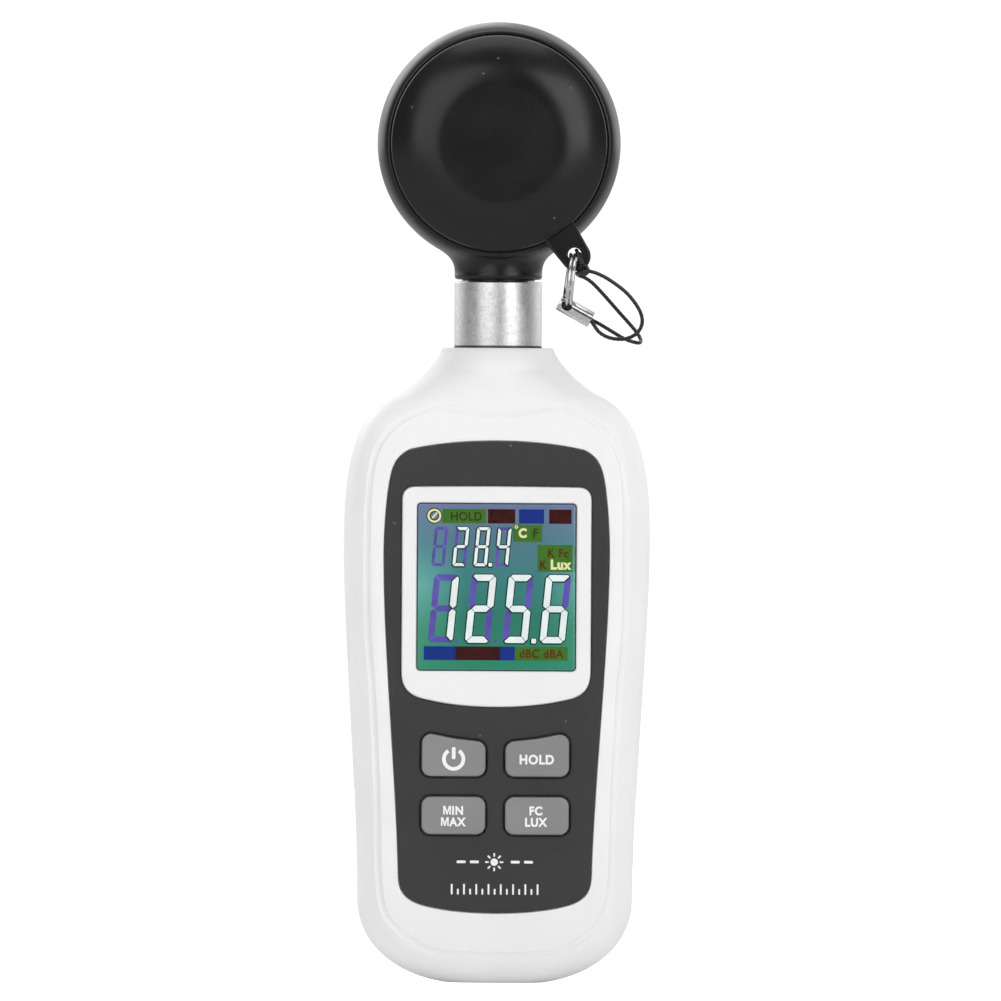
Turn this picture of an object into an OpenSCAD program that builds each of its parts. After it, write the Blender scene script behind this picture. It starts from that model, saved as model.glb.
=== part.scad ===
// Handheld light meter with a swivelling, capped sensor head.
// Upright: +Z is up, the display faces -Y, +X is to the right. Millimetres.

/* [Handset] */
// Height of the handset up to the seat of the neck sleeve
body_height = 105.7; // [105.2:0.1:106.2]
// Half width of the flat foot
foot_half = 7; // [5:0.5:8]
// Depth of the front plateau in front of the parting plane
front_depth = 12.8; // [12.6:0.1:13]
// Depth of the back plateau behind the parting plane
back_depth = 14; // [13.8:0.1:14.4]
// Wall thickness of the two housings
wall = 1.9; // [1.7:0.1:2.1]

/* [Fascia] */
// Thickness of the dark fascia panel
fascia_thick = 0.9; // [0.8:0.1:1]
// Depth of the pocket that the fascia sits in
fascia_pocket = 0.8; // [0.7:0.1:0.8]
// Height of the display bezel above the pocket floor
bezel_thick = 1.6; // [1.4:0.1:1.7]

/* [Keys] */
// Width of each key
key_width = 10.6; // [10:0.1:10.8]
// Distance of the key centres from the middle
key_x = 6.95; // [6.9:0.05:7.1]
// Height of the key tops above the pocket floor
key_proud = 1.8; // [1.5:0.1:1.9]
// Travel of a key
key_travel = 0.8; // [0.6:0.1:0.8]

/* [Batteries] */
// Diameter of one AAA cell
cell_diameter = 10.5; // [10.2:0.1:10.6]
// Length of one AAA cell over its button
cell_length = 44.5; // [44:0.1:44.6]

/* [Neck] */
// Outer radius of the metal neck sleeve
sleeve_r = 7.3; // [7.2:0.05:7.35]
// Height of the sleeve top above the foot
sleeve_top = 116.75; // [116.2:0.05:116.9]
// Radius of the spigot that turns in the bush
spigot_r = 5; // [4.8:0.1:5]

/* [Head] */
// Height of the head centre above the foot
head_z = 139.75; // [139.5:0.05:140]
// Outer radius of the head
head_r = 20.25; // [20:0.05:20.5]
// Depth of the head behind the swivel axis
head_back = 13; // [12.5:0.1:13.5]
// Outer radius of the sensor cap
cap_r = 17.95; // [17.8:0.05:18]
// Depth of the cap front in front of the swivel axis
cap_front = 14; // [13.8:0.1:14.4]

/* [Tether] */
// Radius of the split ring at the wire centre
ring_r = 4.3; // [4.2:0.1:4.4]
// Diameter of the cord
cord_diameter = 0.65; // [0.55:0.05:0.7]

/* [Hidden] */
$fn = 64;

white = [0.93, 0.93, 0.92];
charcoal = [0.23, 0.23, 0.24];
black = [0.07, 0.07, 0.08];
grey = [0.55, 0.55, 0.56];
metal = [0.78, 0.78, 0.79];
clear = [0.7, 0.8, 0.82, 0.4];
teal = [0.35, 0.6, 0.55];
board_green = [0.1, 0.35, 0.18];
filter_green = [0.35, 0.6, 0.5, 0.7];
cell_blue = [0.2, 0.35, 0.55];
lead_red = [0.72, 0.12, 0.1];

// ---- small helpers ------------------------------------------------------------------------------

function mix(a, b, t) = a * (1 - t) + b * t;
function cubic(p, t) =
  p[0] * pow(1 - t, 3) + p[1] * 3 * t * pow(1 - t, 2) + p[2] * 3 * t * t * (1 - t) + p[3] * pow(t, 3);
function reversed(v) = [for (i = [len(v) - 1:-1:0]) v[i]];
function mirrored(v) = [for (p = reversed(v)) [-p[0], p[1]]];
function curve(segments, steps) =
  [for (s = segments) for (i = [0:steps - 1]) cubic(s, i / steps), segments[len(segments) - 1][3]];
function both_sides(half) = concat(half, mirrored(half));

// corner arc between two edges that meet at b
function corner(a, b, c, r, n) =
  let (u = (a - b) / norm(a - b), v = (c - b) / norm(c - b),
       half = acos(u * v) / 2, m = (u + v) / norm(u + v),
       o = b + m * (r / sin(half)), s = b + u * (r / tan(half)), e = b + v * (r / tan(half)))
  [for (i = [0:n]) let (d = mix(s, e, i / n) - o) o + d * (r / norm(d))];
function rounded(pts, r, n = 5) =
  [for (i = [0:len(pts) - 1])
    each corner(pts[(i + len(pts) - 1) % len(pts)], pts[i], pts[(i + 1) % len(pts)], r, n)];
function box2(x0, x1, z0, z1) = [[x0, z0], [x1, z0], [x1, z1], [x0, z1]];

// flat shape in the XZ plane given a depth from y0 to y1
module slab(y0, y1) {
  translate([0, y1, 0]) rotate([90, 0, 0]) linear_extrude(y1 - y0) children();
}

module rod(x, z, r, y0, y1) {
  translate([x, y1, z]) rotate([90, 0, 0]) cylinder(r = r, h = y1 - y0);
}

module block(x0, x1, y0, y1, z0, z1) {
  translate([x0, y0, z0]) cube([x1 - x0, y1 - y0, z1 - z0]);
}

// body turned about the head axis; profile points are [radius, y]
module turned(profile) {
  translate([0, 0, head_z]) rotate([90, 0, 0]) rotate_extrude()
    polygon([for (p = profile) [p[0], -p[1]]]);
}

module behind(y0) {
  block(-60, 60, y0, 60, -10, 200);
}

// ---- handset form -------------------------------------------------------------------------------

shoulder = [17.1, 97.7];
neck_half = 9.4;
neck_edge = 0.5;
outline_segments = [
  [[foot_half, 0], [13, 0.2], [22.9, 4.2], [22.95, 14]],
  [[22.95, 14], [22.9, 30], [25.35, 57], [25.5, 72]],
  [[25.5, 72], [25.5, 82.3], [25.1, 94.1], shoulder],
  [shoulder, [14.8, 98.7], [10.3, 102.7], [neck_half, body_height - neck_edge]]
];
outline_steps = [7, 5, 9, 6];
outline = [
  for (s = [0:3]) for (i = [0:outline_steps[s] - 1]) cubic(outline_segments[s], i / outline_steps[s]),
  [neck_half, body_height - neck_edge],
  [neck_half - neck_edge, body_height]
];

ceiling_z = 97.5;
ceiling_half = 13;
rows = len(outline);
function outward(i) =
  let (a = outline[max(i - 1, 0)], b = outline[min(i + 1, rows - 1)], d = b - a) [d[1], -d[0]] / norm(d);
// inner wall line: the outline moved in by the wall, ending flat under the neck
inner_rows = outline_steps[0] + outline_steps[1] + outline_steps[2] - 1;
inner_outline = [
  for (i = [0:rows - 1])
    i == 0 ? [foot_half, wall + 0.3] :
    i < inner_rows ? outline[i] - outward(i) * wall :
    mix(outline[inner_rows - 1] - outward(inner_rows - 1) * wall, [ceiling_half, ceiling_z],
        (i - inner_rows + 1) / (rows - inner_rows))
];

// half depth of the rounded section before the plateau cuts it, and its squareness
foot_depth = 8;
full_depth = 15.2;
neck_depth = 9.3;
foot_blend = 15;
neck_blend = 29.7;
function swell(z) =
  z < foot_blend ? mix(foot_depth, full_depth, sqrt(max(0, 1 - pow(1 - z / foot_blend, 2)))) :
  z > body_height - neck_blend ?
    mix(neck_depth, full_depth, pow(max(0, sin(90 * (body_height - z) / neck_blend)), 0.65)) : full_depth;
function square(z) = z < 78 ? 3.6 : z < 93 ? mix(3.6, 5, (z - 78) / 15) : mix(5, 2.1, min(1, (z - 93) / 9));

side_steps = 7;
top_steps = 3;
ridge_cap = 66;
columns = 2 * (side_steps + top_steps) + 1;

// half section at height z: from +x round the front (or back) to -x
function section(a, b, z, n, limit) =
  let (ridge = b > limit ? asin(pow(limit / b, n / 2)) : 90,
       fs = min(ridge, ridge_cap),
       angles = concat([for (k = [0:side_steps]) fs * k / side_steps],
                       [for (k = [1:top_steps]) mix(fs, 90, k / top_steps)]),
       quarter = [for (f = angles)
         [a * pow(max(0, cos(f)), 2 / n), min(limit, b * pow(max(0, sin(f)), 2 / n))]])
  [for (p = quarter) [p[0], p[1], z], for (k = [len(quarter) - 2:-1:0]) [-quarter[k][0], quarter[k][1], z]];

// solid half shell between an outer and an inner surface; s = -1 front, 1 back
module half_shell(s, depth) {
  scale_out = depth / front_depth;
  outer = [for (p = outline) each [for (q = section(p[0], swell(p[1]) * scale_out, p[1], square(p[1]), depth))
    [q[0], s * q[1], q[2]]]];
  inner = [for (p = inner_outline)
    each [for (q = section(p[0], (swell(p[1]) - wall) * scale_out, p[1], square(p[1]), depth - wall))
    [q[0], s * q[1], q[2]]]];
  m = columns;
  n = rows * m;
  last = (rows - 1) * m;
  skin = [for (r = [0:rows - 2]) for (c = [0:m - 2])
    [r * m + c, r * m + c + 1, (r + 1) * m + c + 1, (r + 1) * m + c]];
  half = floor(m / 2);
  foot = [for (c = [0:half - 1]) c == half - 1 ? [c, m - 1 - c, c + 1] : [c, m - 1 - c, m - 2 - c, c + 1]];
  crown = [for (c = [0:half - 1]) c == half - 1 ? [last + c, last + c + 1, last + m - 1 - c] :
    [last + c, last + c + 1, last + m - 2 - c, last + m - 1 - c]];
  rim = [for (r = [0:rows - 2]) each [
    [r * m, (r + 1) * m, n + (r + 1) * m, n + r * m],
    [r * m + m - 1, n + r * m + m - 1, n + (r + 1) * m + m - 1, (r + 1) * m + m - 1]]];
  ends = [[0, n, n + m - 1, m - 1], [last, last + m - 1, n + last + m - 1, n + last]];
  outer_faces = concat(skin, foot, crown);
  inner_faces = [for (f = outer_faces) [for (v = reversed(f)) v + n]];
  faces = concat(outer_faces, inner_faces, rim, ends);
  polyhedron(points = concat(outer, inner), faces = s < 0 ? faces : [for (f = faces) reversed(f)]);
}

front_inner = -front_depth + wall;
pocket_floor = -front_depth + fascia_pocket;
back_inner = back_depth - wall;

// ---- fascia, display opening and key outlines ---------------------------------------------------

fascia_segments = [
  [[0, 11.6], [6, 11.6], [11.5, 12.4], [13.6, 13.5]],
  [[13.6, 13.5], [15.3, 14.4], [16.05, 15.5], [16.1, 18]],
  [[16.1, 18], [16.5, 34], [18.8, 56], [18.8, 71.5]],
  [[18.8, 71.5], [18.8, 76], [18.3, 82], [17.7, 84.5]],
  [[17.7, 84.5], [17.2, 86.8], [16.2, 88], [14.4, 88.8]],
  [[14.4, 88.8], [10, 89.8], [5, 90.25], [0, 90.25]]
];
fascia_outline = both_sides(curve(fascia_segments, 5));

bezel_half = 15.8;
bezel_top = 82.6;
bezel_segments = [
  [[0, 45.9], [4, 45.9], [8, 46.2], [12.5, 47.3]],
  [[12.5, 47.3], [14.6, 48], [bezel_half, 49], [bezel_half, 52]],
  [[bezel_half, bezel_top - 2], [bezel_half, bezel_top - 0.7], [bezel_half - 0.7, bezel_top],
   [bezel_half - 2, bezel_top]]
];
bezel_outline = both_sides(curve(bezel_segments, 5));

window_half = 13.3;
window_low = 51.9;
window_high = 79.9;
lens_margin = 1;
lens_thick = 0.8;
window_outline = rounded(box2(-window_half, window_half, window_low, window_high), 0.6, 3);
lens_outline = rounded(box2(-window_half - lens_margin, window_half + lens_margin,
  window_low - lens_margin, window_high + lens_margin), 0.8, 3);

// keys: upper pair has a sloping top edge, lower pair is square
upper_low = 34.4;
upper_outer = 41.75;
upper_inner = 40.1;
lower_low = 24.75;
lower_high = 31;
key_corner = 1.4;
key_gap = 0.3;
function upper_key(s, grow) =
  let (xi = key_x - key_width / 2 - grow, xo = key_x + key_width / 2 + grow,
       low = upper_low - grow,
       p = [[xi, low], [xo, low], [xo, upper_outer + grow], [xi, upper_inner + grow]])
  rounded(s > 0 ? p : [for (q = reversed(p)) [-q[0], q[1]]], key_corner + grow);
function lower_key(s, grow) =
  let (xi = key_x - key_width / 2 - grow, xo = key_x + key_width / 2 + grow,
       p = box2(xi, xo, lower_low - grow, lower_high + grow))
  rounded(s > 0 ? p : [for (q = reversed(p)) [-q[0], q[1]]], key_corner + grow);
upper_z = 37.8;
lower_z = 27.9;

module key_outlines(grow) {
  for (s = [-1, 1]) {
    polygon(upper_key(s, grow));
    polygon(lower_key(s, grow));
  }
}

// ---- fasteners of the housing -------------------------------------------------------------------

screw_places = [[-17.4, 87.6], [17.4, 87.6], [-15, 13], [15, 13]];
boss_r = 2.6;
seat_y = 5;
counterbore_r = 2.3;
shank_hole_r = 1.35;
pilot_r = 1.05;
pilot_depth = 8;

module at_screws() {
  for (p = screw_places) translate([p[0], 0, p[1]]) children();
}

// ---- battery bay --------------------------------------------------------------------------------

bay_half = 17;
bay_low = 18.6;
bay_high = 67;
bay_wall = 1.2;
cell_r = cell_diameter / 2;
cell_pitch = 11.2;
cell_y = 5.5;
door_half = 16.2;
door_low = 17.95;
door_high = 67.6;
door_thick = 1.8;
door_gap = 0.3;
hinge_y = 13.1;
hinge_z = 17.2;
knuckle_r = 0.8;
hinge_groove_r = 1.45;

plate_thick = 0.4;
plate_low = bay_low + 0.1;
plate_high = bay_high - 0.1;
cell_foot = plate_high - plate_thick - 0.02 - cell_length;
spring_room = cell_foot - plate_low - plate_thick - 0.04;
tab_x = 15.2;
tab_y = -2.9;

// ---- housings -----------------------------------------------------------------------------------

label_recess = 0.3;
label_half = 13;
label_low = 72;
label_high = 84;
function label_outline(grow) =
  rounded(box2(-label_half - grow, label_half + grow, label_low - grow, label_high + grow), 1, 3);

sleeve_flange_r = 8.6;
sleeve_flange_low = 96.3;
stop_low = 94.9;
stop_high = 96.2;

module sleeve_bore() {
  translate([0, 0, ceiling_z - 1]) cylinder(r = sleeve_r + 0.05, h = 20);
}

module front_housing() {
  color(white) {
    difference() {
      half_shell(-1, front_depth);
      slab(-front_depth - 2, pocket_floor) polygon(fascia_outline);
      slab(-front_depth - 2, -front_depth + wall + 1) polygon(window_outline);
      slab(-front_depth - 2, -front_depth + wall + 1) key_outlines(key_gap);
      sleeve_bore();
    }
    intersection() {
      at_screws() difference() {
        rod(0, 0, boss_r, front_inner - 0.4, 0);
        rod(0, 0, pilot_r, -pilot_depth, 1);
      }
      block(-23, 23, -front_depth + 1, 1, 3, 95);
    }
    stop_rib();
    board_posts();
  }
}

// rib that stops the swivel clip at each end of its travel
module stop_rib() {
  inner_r = 7.75;
  outer_r = 9.3;
  translate([0, 0, stop_low]) linear_extrude(stop_high - stop_low)
    polygon([for (a = [232:9.5:308]) inner_r * [cos(a), sin(a)],
      [outer_r * cos(308), outer_r * sin(308)], [4, front_inner - 0.5], [-4, front_inner - 0.5],
      [outer_r * cos(232), outer_r * sin(232)]]);
}

post_places = [[-12.6, 19], [12.6, 19], [-12.6, 87.8], [12.6, 87.8]];
board_front = -5.8;
board_back = -4.2;

module board_posts() {
  for (p = post_places) rod(p[0], p[1], 1.8, front_inner - 0.4, board_front);
}

module rear_housing() {
  color(white) {
    difference() {
      union() {
        half_shell(1, back_depth);
        block(-bay_half + 0.2, bay_half - 0.2, 10.4, back_inner + 0.4, 14.6, bay_low + 0.2);
        block(-bay_half + 0.2, bay_half - 0.2, back_inner - 0.6, back_inner + 0.4, bay_high, bay_high + 3);
      }
      block(-door_half - door_gap, door_half + door_gap, 9, back_depth + 2, hinge_z,
        door_high + door_gap + 0.1);
      translate([-door_half - door_gap, hinge_y, hinge_z]) rotate([0, 90, 0])
        cylinder(r = hinge_groove_r, h = 2 * (door_half + door_gap));
      at_screws() rod(0, 0, counterbore_r, seat_y, back_depth + 2);
      slab(back_depth - label_recess, back_depth + 2) polygon(label_outline(0.1));
      sleeve_bore();
    }
    battery_bay();
    intersection() {
      at_screws() difference() {
        rod(0, 0, boss_r + 0.6, 0, back_depth);
        rod(0, 0, counterbore_r, seat_y, back_depth + 2);
        rod(0, 0, shank_hole_r, -1, seat_y + 1);
      }
      half_core();
    }
  }
}

// room inside the back half, used to trim the screw columns to the shell
module half_core() {
  block(-22.3, 22.3, 0, back_inner + 0.3, 4, 93.5);
}

module battery_bay() {
  difference() {
    block(-bay_half - bay_wall, bay_half + bay_wall, -bay_wall, back_inner + 0.2, bay_low - bay_wall,
      bay_high + bay_wall);
    block(-bay_half, bay_half, 0, back_depth, bay_low, bay_high);
    for (i = [-1, 1]) block(i * tab_x - 0.8, i * tab_x + 0.8, -bay_wall - 1, 1, plate_high - 0.6, bay_high);
    block(-door_half - door_gap, door_half + door_gap, back_inner, back_depth, bay_low - 4, bay_high + 4);
    translate([-door_half - door_gap, hinge_y, hinge_z]) rotate([0, 90, 0])
      cylinder(r = hinge_groove_r, h = 2 * (door_half + door_gap));
  }
}

module housing_screws() {
  head_r = 2.05;
  head_h = 1.5;
  color(metal) at_screws() difference() {
    union() {
      rod(0, 0, head_r, seat_y, seat_y + head_h);
      rod(0, 0, 1.2, 0.3, seat_y + 0.2);
      rod(0, 0, 1, -6.5, 0.4);
    }
    block(-1.3, 1.3, seat_y + head_h - 0.7, seat_y + 3, -0.25, 0.25);
    block(-0.25, 0.25, seat_y + head_h - 0.7, seat_y + 3, -1.3, 1.3);
  }
}

module fascia_panel() {
  color(charcoal) difference() {
    slab(pocket_floor - fascia_thick, pocket_floor) polygon(fascia_outline);
    slab(-20, 0) polygon(bezel_outline);
    slab(-20, 0) key_outlines(key_gap);
  }
}

module display_bezel() {
  color(white) difference() {
    slab(pocket_floor - bezel_thick, pocket_floor) polygon(bezel_outline);
    slab(-20, 0) polygon(window_outline);
    slab(pocket_floor - lens_thick, 0) polygon(lens_outline);
  }
}

module display_window() {
  color(clear) slab(pocket_floor - lens_thick, pocket_floor) polygon(lens_outline);
}

// ---- display stack ------------------------------------------------------------------------------

glass_half = 15;
glass_low = 47.6;
glass_high = 82.4;
glass_front = -10.7;
glass_back = -8.9;
light_low = 50.4;
light_back = -7;
frame_half = 16.5;
frame_low = 46.4;
frame_high = 84;
strip_low = 47.7;
strip_high = 49.7;

module lcd_glass() {
  color(teal) {
    block(-glass_half, glass_half, glass_front, (glass_front + glass_back) / 2, light_low - 0.4, glass_high);
    block(-glass_half, glass_half, (glass_front + glass_back) / 2, glass_back, glass_low, glass_high);
  }
}

module lcd_backlight() {
  color(white) block(-glass_half, glass_half, glass_back, light_back, light_low, glass_high);
}

module connector_strip() {
  color(grey) block(-14, 14, glass_back, board_front, strip_low, strip_high);
}

module lcd_frame() {
  color(black) difference() {
    block(-frame_half, frame_half, front_inner, board_front, frame_low, frame_high);
    block(-glass_half - 0.1, glass_half + 0.1, glass_front - 0.1, light_back + 0.05, glass_low - 0.1,
      glass_high + 0.1);
    block(-window_half - 0.6, window_half + 0.6, -20, glass_front + 1, window_low - 0.6, window_high + 0.6);
    block(-14.1, 14.1, light_back - 1, 0, strip_low - 0.1, strip_high + 0.1);
    block(-13, 13, light_back - 1, 0, 53, 79.5);
  }
}

// ---- board, key domes, mat, keys ----------------------------------------------------------------

board_outline = rounded([[-13.2, 16.4], [13.2, 16.4], [17.2, 20.5], [17.2, 82], [14.6, 85.5], [14.6, 90],
  [11, 92.5], [-11, 92.5], [-14.6, 90], [-14.6, 85.5], [-17.2, 82], [-17.2, 20.5]], 1, 2);

module main_board() {
  color(board_green) difference() {
    slab(board_front, board_back) polygon(board_outline);
    for (p = post_places) rod(p[0], p[1], 0.8, board_front - 1, board_back + 1);
  }
}

// packages on the back of the board: [left, right, bottom, top, height]
packages = [
  [-6, 6, 70, 80, 1.6], [-13, -9, 72, 77, 1.5], [9, 13, 72, 77, 1.5], [-14, -8, 80, 82.2, 1.4],
  [-3, 3, 86.4, 89.4, 2.4], [-2.2, 2.2, 82, 84, 1.2], [-6, -3, 28, 32, 1.2], [4, 8, 50, 55, 1.5]
];
buzzer_place = [11, 82];
buzzer_r = 2;
buzzer_height = 2.6;

module board_components() {
  color(charcoal) {
    for (p = packages) block(p[0], p[1], board_back, board_back + p[4], p[2], p[3]);
    rod(buzzer_place[0], buzzer_place[1], buzzer_r, board_back, board_back + buzzer_height);
  }
}

dome_places = [[-key_x, upper_z], [key_x, upper_z], [-key_x, lower_z], [key_x, lower_z]];

dome_height = 0.6;

module key_domes() {
  dome_rim = 3.2;
  color(metal) for (p = dome_places) translate([p[0], board_front, p[1]]) rotate([90, 0, 0])
    rotate_extrude() polygon([[0, dome_height - 0.2], [1.4, dome_height - 0.25], [dome_rim - 0.5, 0],
      [dome_rim, 0], [dome_rim, 0.1], [dome_rim - 0.6, 0.25], [1.6, dome_height - 0.03], [0, dome_height]]);
}

mat_back = -9.5;
stem_r = 1.6;
stem_clearance = 0.3;

module key_mat() {
  color(grey) difference() {
    block(-15.5, 15.5, front_inner, mat_back, 21.8, 44.9);
    slab(-20, 0) key_outlines(1.1);
  }
}

module key_shape(outline, flange, x, z) {
  color(grey) {
    slab(pocket_floor - key_proud, front_inner + 0.3) polygon(outline);
    slab(front_inner + 0.1, front_inner + 0.9) polygon(flange);
    rod(x, z, stem_r, front_inner + 0.8, board_front - dome_height - key_travel - stem_clearance);
  }
}

module power_key() {
  key_shape(upper_key(-1, 0), upper_key(-1, 0.7), -key_x, upper_z);
}

module hold_key() {
  key_shape(upper_key(1, 0), upper_key(1, 0.7), key_x, upper_z);
}

module minmax_key() {
  key_shape(lower_key(-1, 0), lower_key(-1, 0.7), -key_x, lower_z);
}

module unit_key() {
  key_shape(lower_key(1, 0), lower_key(1, 0.7), key_x, lower_z);
}

// ---- battery parts ------------------------------------------------------------------------------

module battery_door() {
  finger_r = 9;
  color(white) {
    difference() {
      slab(back_depth - door_thick, back_depth)
        polygon(rounded(box2(-door_half, door_half, door_low, door_high), 0.8, 3));
      translate([0, back_depth + finger_r - 0.8, door_high - 7]) rotate([0, 90, 0])
        cylinder(r = finger_r, h = 12, center = true);
    }
    for (s = [-1, 1]) translate([s * 11, hinge_y, hinge_z]) {
      rotate([0, 90, 0]) cylinder(r = knuckle_r, h = 6, center = true);
      block(-3, 3, -knuckle_r, knuckle_r, 0, door_low - hinge_z + 0.8);
    }
  }
}

module battery_cells() {
  button_r = 1.9;
  button_h = 0.9;
  for (i = [-1:1]) {
    flip = i == 0 ? 1 : 0;
    foot = flip * (plate_low + plate_high);
    translate([i * cell_pitch, cell_y, foot + (1 - 2 * flip) * cell_foot]) rotate([flip * 180, 0, 0])
      color(cell_blue) rotate_extrude() polygon([[0, 0], [cell_r - 0.6, 0], [cell_r - 0.3, 0.3],
        [cell_r, 0.6], [cell_r, cell_length - button_h - 0.6], [cell_r - 0.4, cell_length - button_h],
        [button_r, cell_length - button_h], [button_r, cell_length - 0.15], [button_r - 0.15, cell_length],
        [0, cell_length]]);
  }
}

spring_wire = 0.25;
spring_turns = 3;
spring_steps = 12;

// tube swept along points with a ring of corners at each; up is never along the path
function unit(v) = v / norm(v);
function along(p, i) = unit(p[min(i + 1, len(p) - 1)] - p[max(i - 1, 0)]);
function ring_points(c, t, r, sides, up) =
  let (u = unit(cross(up, t)), v = cross(t, u))
  [for (k = [0:sides - 1]) let (a = 360 * (k + 0.5) / sides) c + u * r * cos(a) + v * r * sin(a)];

module tube(path, r, sides, up = [0, 1, 0]) {
  n = len(path);
  points = [for (i = [0:n - 1]) each ring_points(path[i], along(path, i), r, sides, up)];
  skin = [for (i = [0:n - 2]) for (k = [0:sides - 1])
    [i * sides + k, i * sides + (k + 1) % sides, (i + 1) * sides + (k + 1) % sides, (i + 1) * sides + k]];
  start = [for (k = [sides - 1:-1:0]) k];
  end = [for (k = [0:sides - 1]) (n - 1) * sides + k];
  faces = concat([for (f = skin) reversed(f)], [reversed(start)], [reversed(end)]);
  polyhedron(points = points, faces = faces);
}

module coil(z0, z1, r0, r1) {
  count = spring_turns * spring_steps;
  tube([for (i = [0:count]) let (t = i / count, a = 360 * spring_turns * t, r = mix(r0, r1, t))
    [r * cos(a), r * sin(a), mix(z0, z1, t)]], spring_wire, 6, [0, 0, 1]);
}

module battery_springs() {
  wide = 3.6;
  narrow = 2.4;
  color(metal) {
    for (i = [-1, 1]) translate([i * cell_pitch, cell_y, plate_low + plate_thick + 0.02])
      coil(spring_wire, spring_room - spring_wire, wide, narrow);
    translate([0, cell_y, plate_high - plate_thick - 0.02]) rotate([180, 0, 0])
      coil(spring_wire, spring_room - spring_wire, wide, narrow);
  }
}

module battery_contacts() {
  reach = 4.6;
  color(metal) for (i = [-1:1]) {
    block(i * cell_pitch - reach, i * cell_pitch + reach, cell_y - reach, cell_y + reach, plate_low,
      plate_low + plate_thick);
    block(i * cell_pitch - reach, i * cell_pitch + reach, cell_y - reach, cell_y + reach,
      plate_high - plate_thick, plate_high);
    if (i != 0) block(i * tab_x - 0.6, i * tab_x + 0.6, tab_y, cell_y, plate_high - plate_thick, plate_high);
  }
}

module battery_leads() {
  lead_r = 0.5;
  lead_y = tab_y + lead_r;
  lead_top = 72;
  color(lead_red) for (i = [-1, 1]) translate([i * tab_x, 0, 0])
    tube([[0, lead_y, plate_high + 0.02], [0, lead_y, lead_top - 0.6], [0, lead_y - 0.2, lead_top],
      [0, board_back + 0.16, lead_top + 0.3]], lead_r, 8);
}

module rating_label() {
  color(metal) slab(back_depth - label_recess, back_depth - 0.05) polygon(label_outline(0));
}

// ---- neck ---------------------------------------------------------------------------------------

bush_r = 6.48;
bush_bore = spigot_r + 0.08;
clip_low = 95.25;
clip_high = 95.95;
spigot_low = 94.4;
neck_low = 117.1;
neck_bore = 3.4;
split_y = -1;

module neck_sleeve() {
  sleeve_bore = bush_r + 0.02;
  color(metal) rotate_extrude() polygon([
    [sleeve_bore, sleeve_flange_low], [sleeve_flange_r, sleeve_flange_low], [sleeve_flange_r, ceiling_z],
    [sleeve_r, ceiling_z], [sleeve_r, sleeve_top - 0.25], [sleeve_r - 0.25, sleeve_top],
    [sleeve_bore, sleeve_top]]);
}

module swivel_bush() {
  low = sleeve_flange_low + 0.1;
  high = sleeve_top - 0.2;
  color(white) rotate_extrude()
    polygon([[bush_bore, low], [bush_r, low], [bush_r, high], [bush_bore, high]]);
}

module swivel_clip() {
  clip_r = 7.4;
  finger = 8.7;
  finger_half = 0.75;
  color(metal) difference() {
    union() {
      translate([0, 0, clip_low]) cylinder(r = clip_r, h = clip_high - clip_low);
      block(-finger_half, finger_half, clip_r - 1, finger, clip_low, clip_high);
    }
    translate([0, 0, clip_low - 1]) cylinder(r = spigot_r - 0.48, h = 3);
  }
}

module sensor_leads() {
  lead_r = 0.45;
  head_end = 123;
  elbow_z = 93.4;
  socket_z = 89.8;
  socket_y = -3;
  color(lead_red) for (i = [-1:1]) translate([i * 1.2, 0, 0])
    tube([[0, 0, head_end], [0, 0, elbow_z + 1], [0, -0.4, elbow_z], [0, socket_y + 0.6, socket_z + 0.9],
      [0, socket_y, socket_z]], lead_r, 8);
}

// ---- sensor head --------------------------------------------------------------------------------

head_wall = 1.8;
head_front = -8;
head_steps = 14;
head_power = 2.6;
bowl = [for (i = [0:head_steps]) let (f = 90 * i / head_steps)
  [head_r * pow(sin(f), 2 / head_power), split_y + (head_back - split_y) * pow(cos(f), 2 / head_power)]];
bowl_inner = [for (i = [0:head_steps]) let (f = 90 * i / head_steps)
  [(head_r - head_wall) * pow(sin(f), 2 / head_power),
   split_y + (head_back - split_y - head_wall) * pow(cos(f), 2 / head_power)]];

module neck_form() {
  groove_r = spigot_r - 0.5;
  rotate_extrude() polygon([[neck_bore, spigot_low], [spigot_r, spigot_low], [spigot_r, clip_low - 0.05],
    [groove_r, clip_low - 0.05], [groove_r, clip_high + 0.05], [spigot_r, clip_high + 0.05],
    [spigot_r, neck_low - 0.25], [spigot_r + 1.1, neck_low - 0.25], [spigot_r + 1.1, neck_low],
    [sleeve_r - 0.6, neck_low], [sleeve_r - 0.15, neck_low + 0.2],
    [sleeve_r, neck_low + 0.6], [sleeve_r, 118.9], [7.4, 119.7], [7.9, 120.4], [8.6, 121.1], [9.3, 121.7],
    [neck_bore, 121.7]]);
}

module neck_bore_cut() {
  translate([0, 0, 110]) cylinder(r = neck_bore, h = 14);
}

head_screw_places = [[-13, 0], [13, 0]];
head_seat = 4.5;
sensor_board_back = 1;

module head_rear_shell() {
  color(black) {
    difference() {
      union() {
        turned(concat(bowl, reversed(bowl_inner)));
        intersection() {
          neck_form();
          behind(split_y);
        }
        for (p = head_screw_places) rod(p[0], head_z + p[1], 2.6, split_y, 9.5);
        for (s = [-1, 1]) rod(0, head_z + s * 7.5, 1.5, sensor_board_back, head_back - head_wall);
      }
      neck_bore_cut();
      for (p = head_screw_places) {
        rod(p[0], head_z + p[1], 1.9, head_seat, 20);
        rod(p[0], head_z + p[1], 1.15, -2, head_seat + 1);
      }
    }
  }
}

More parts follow.
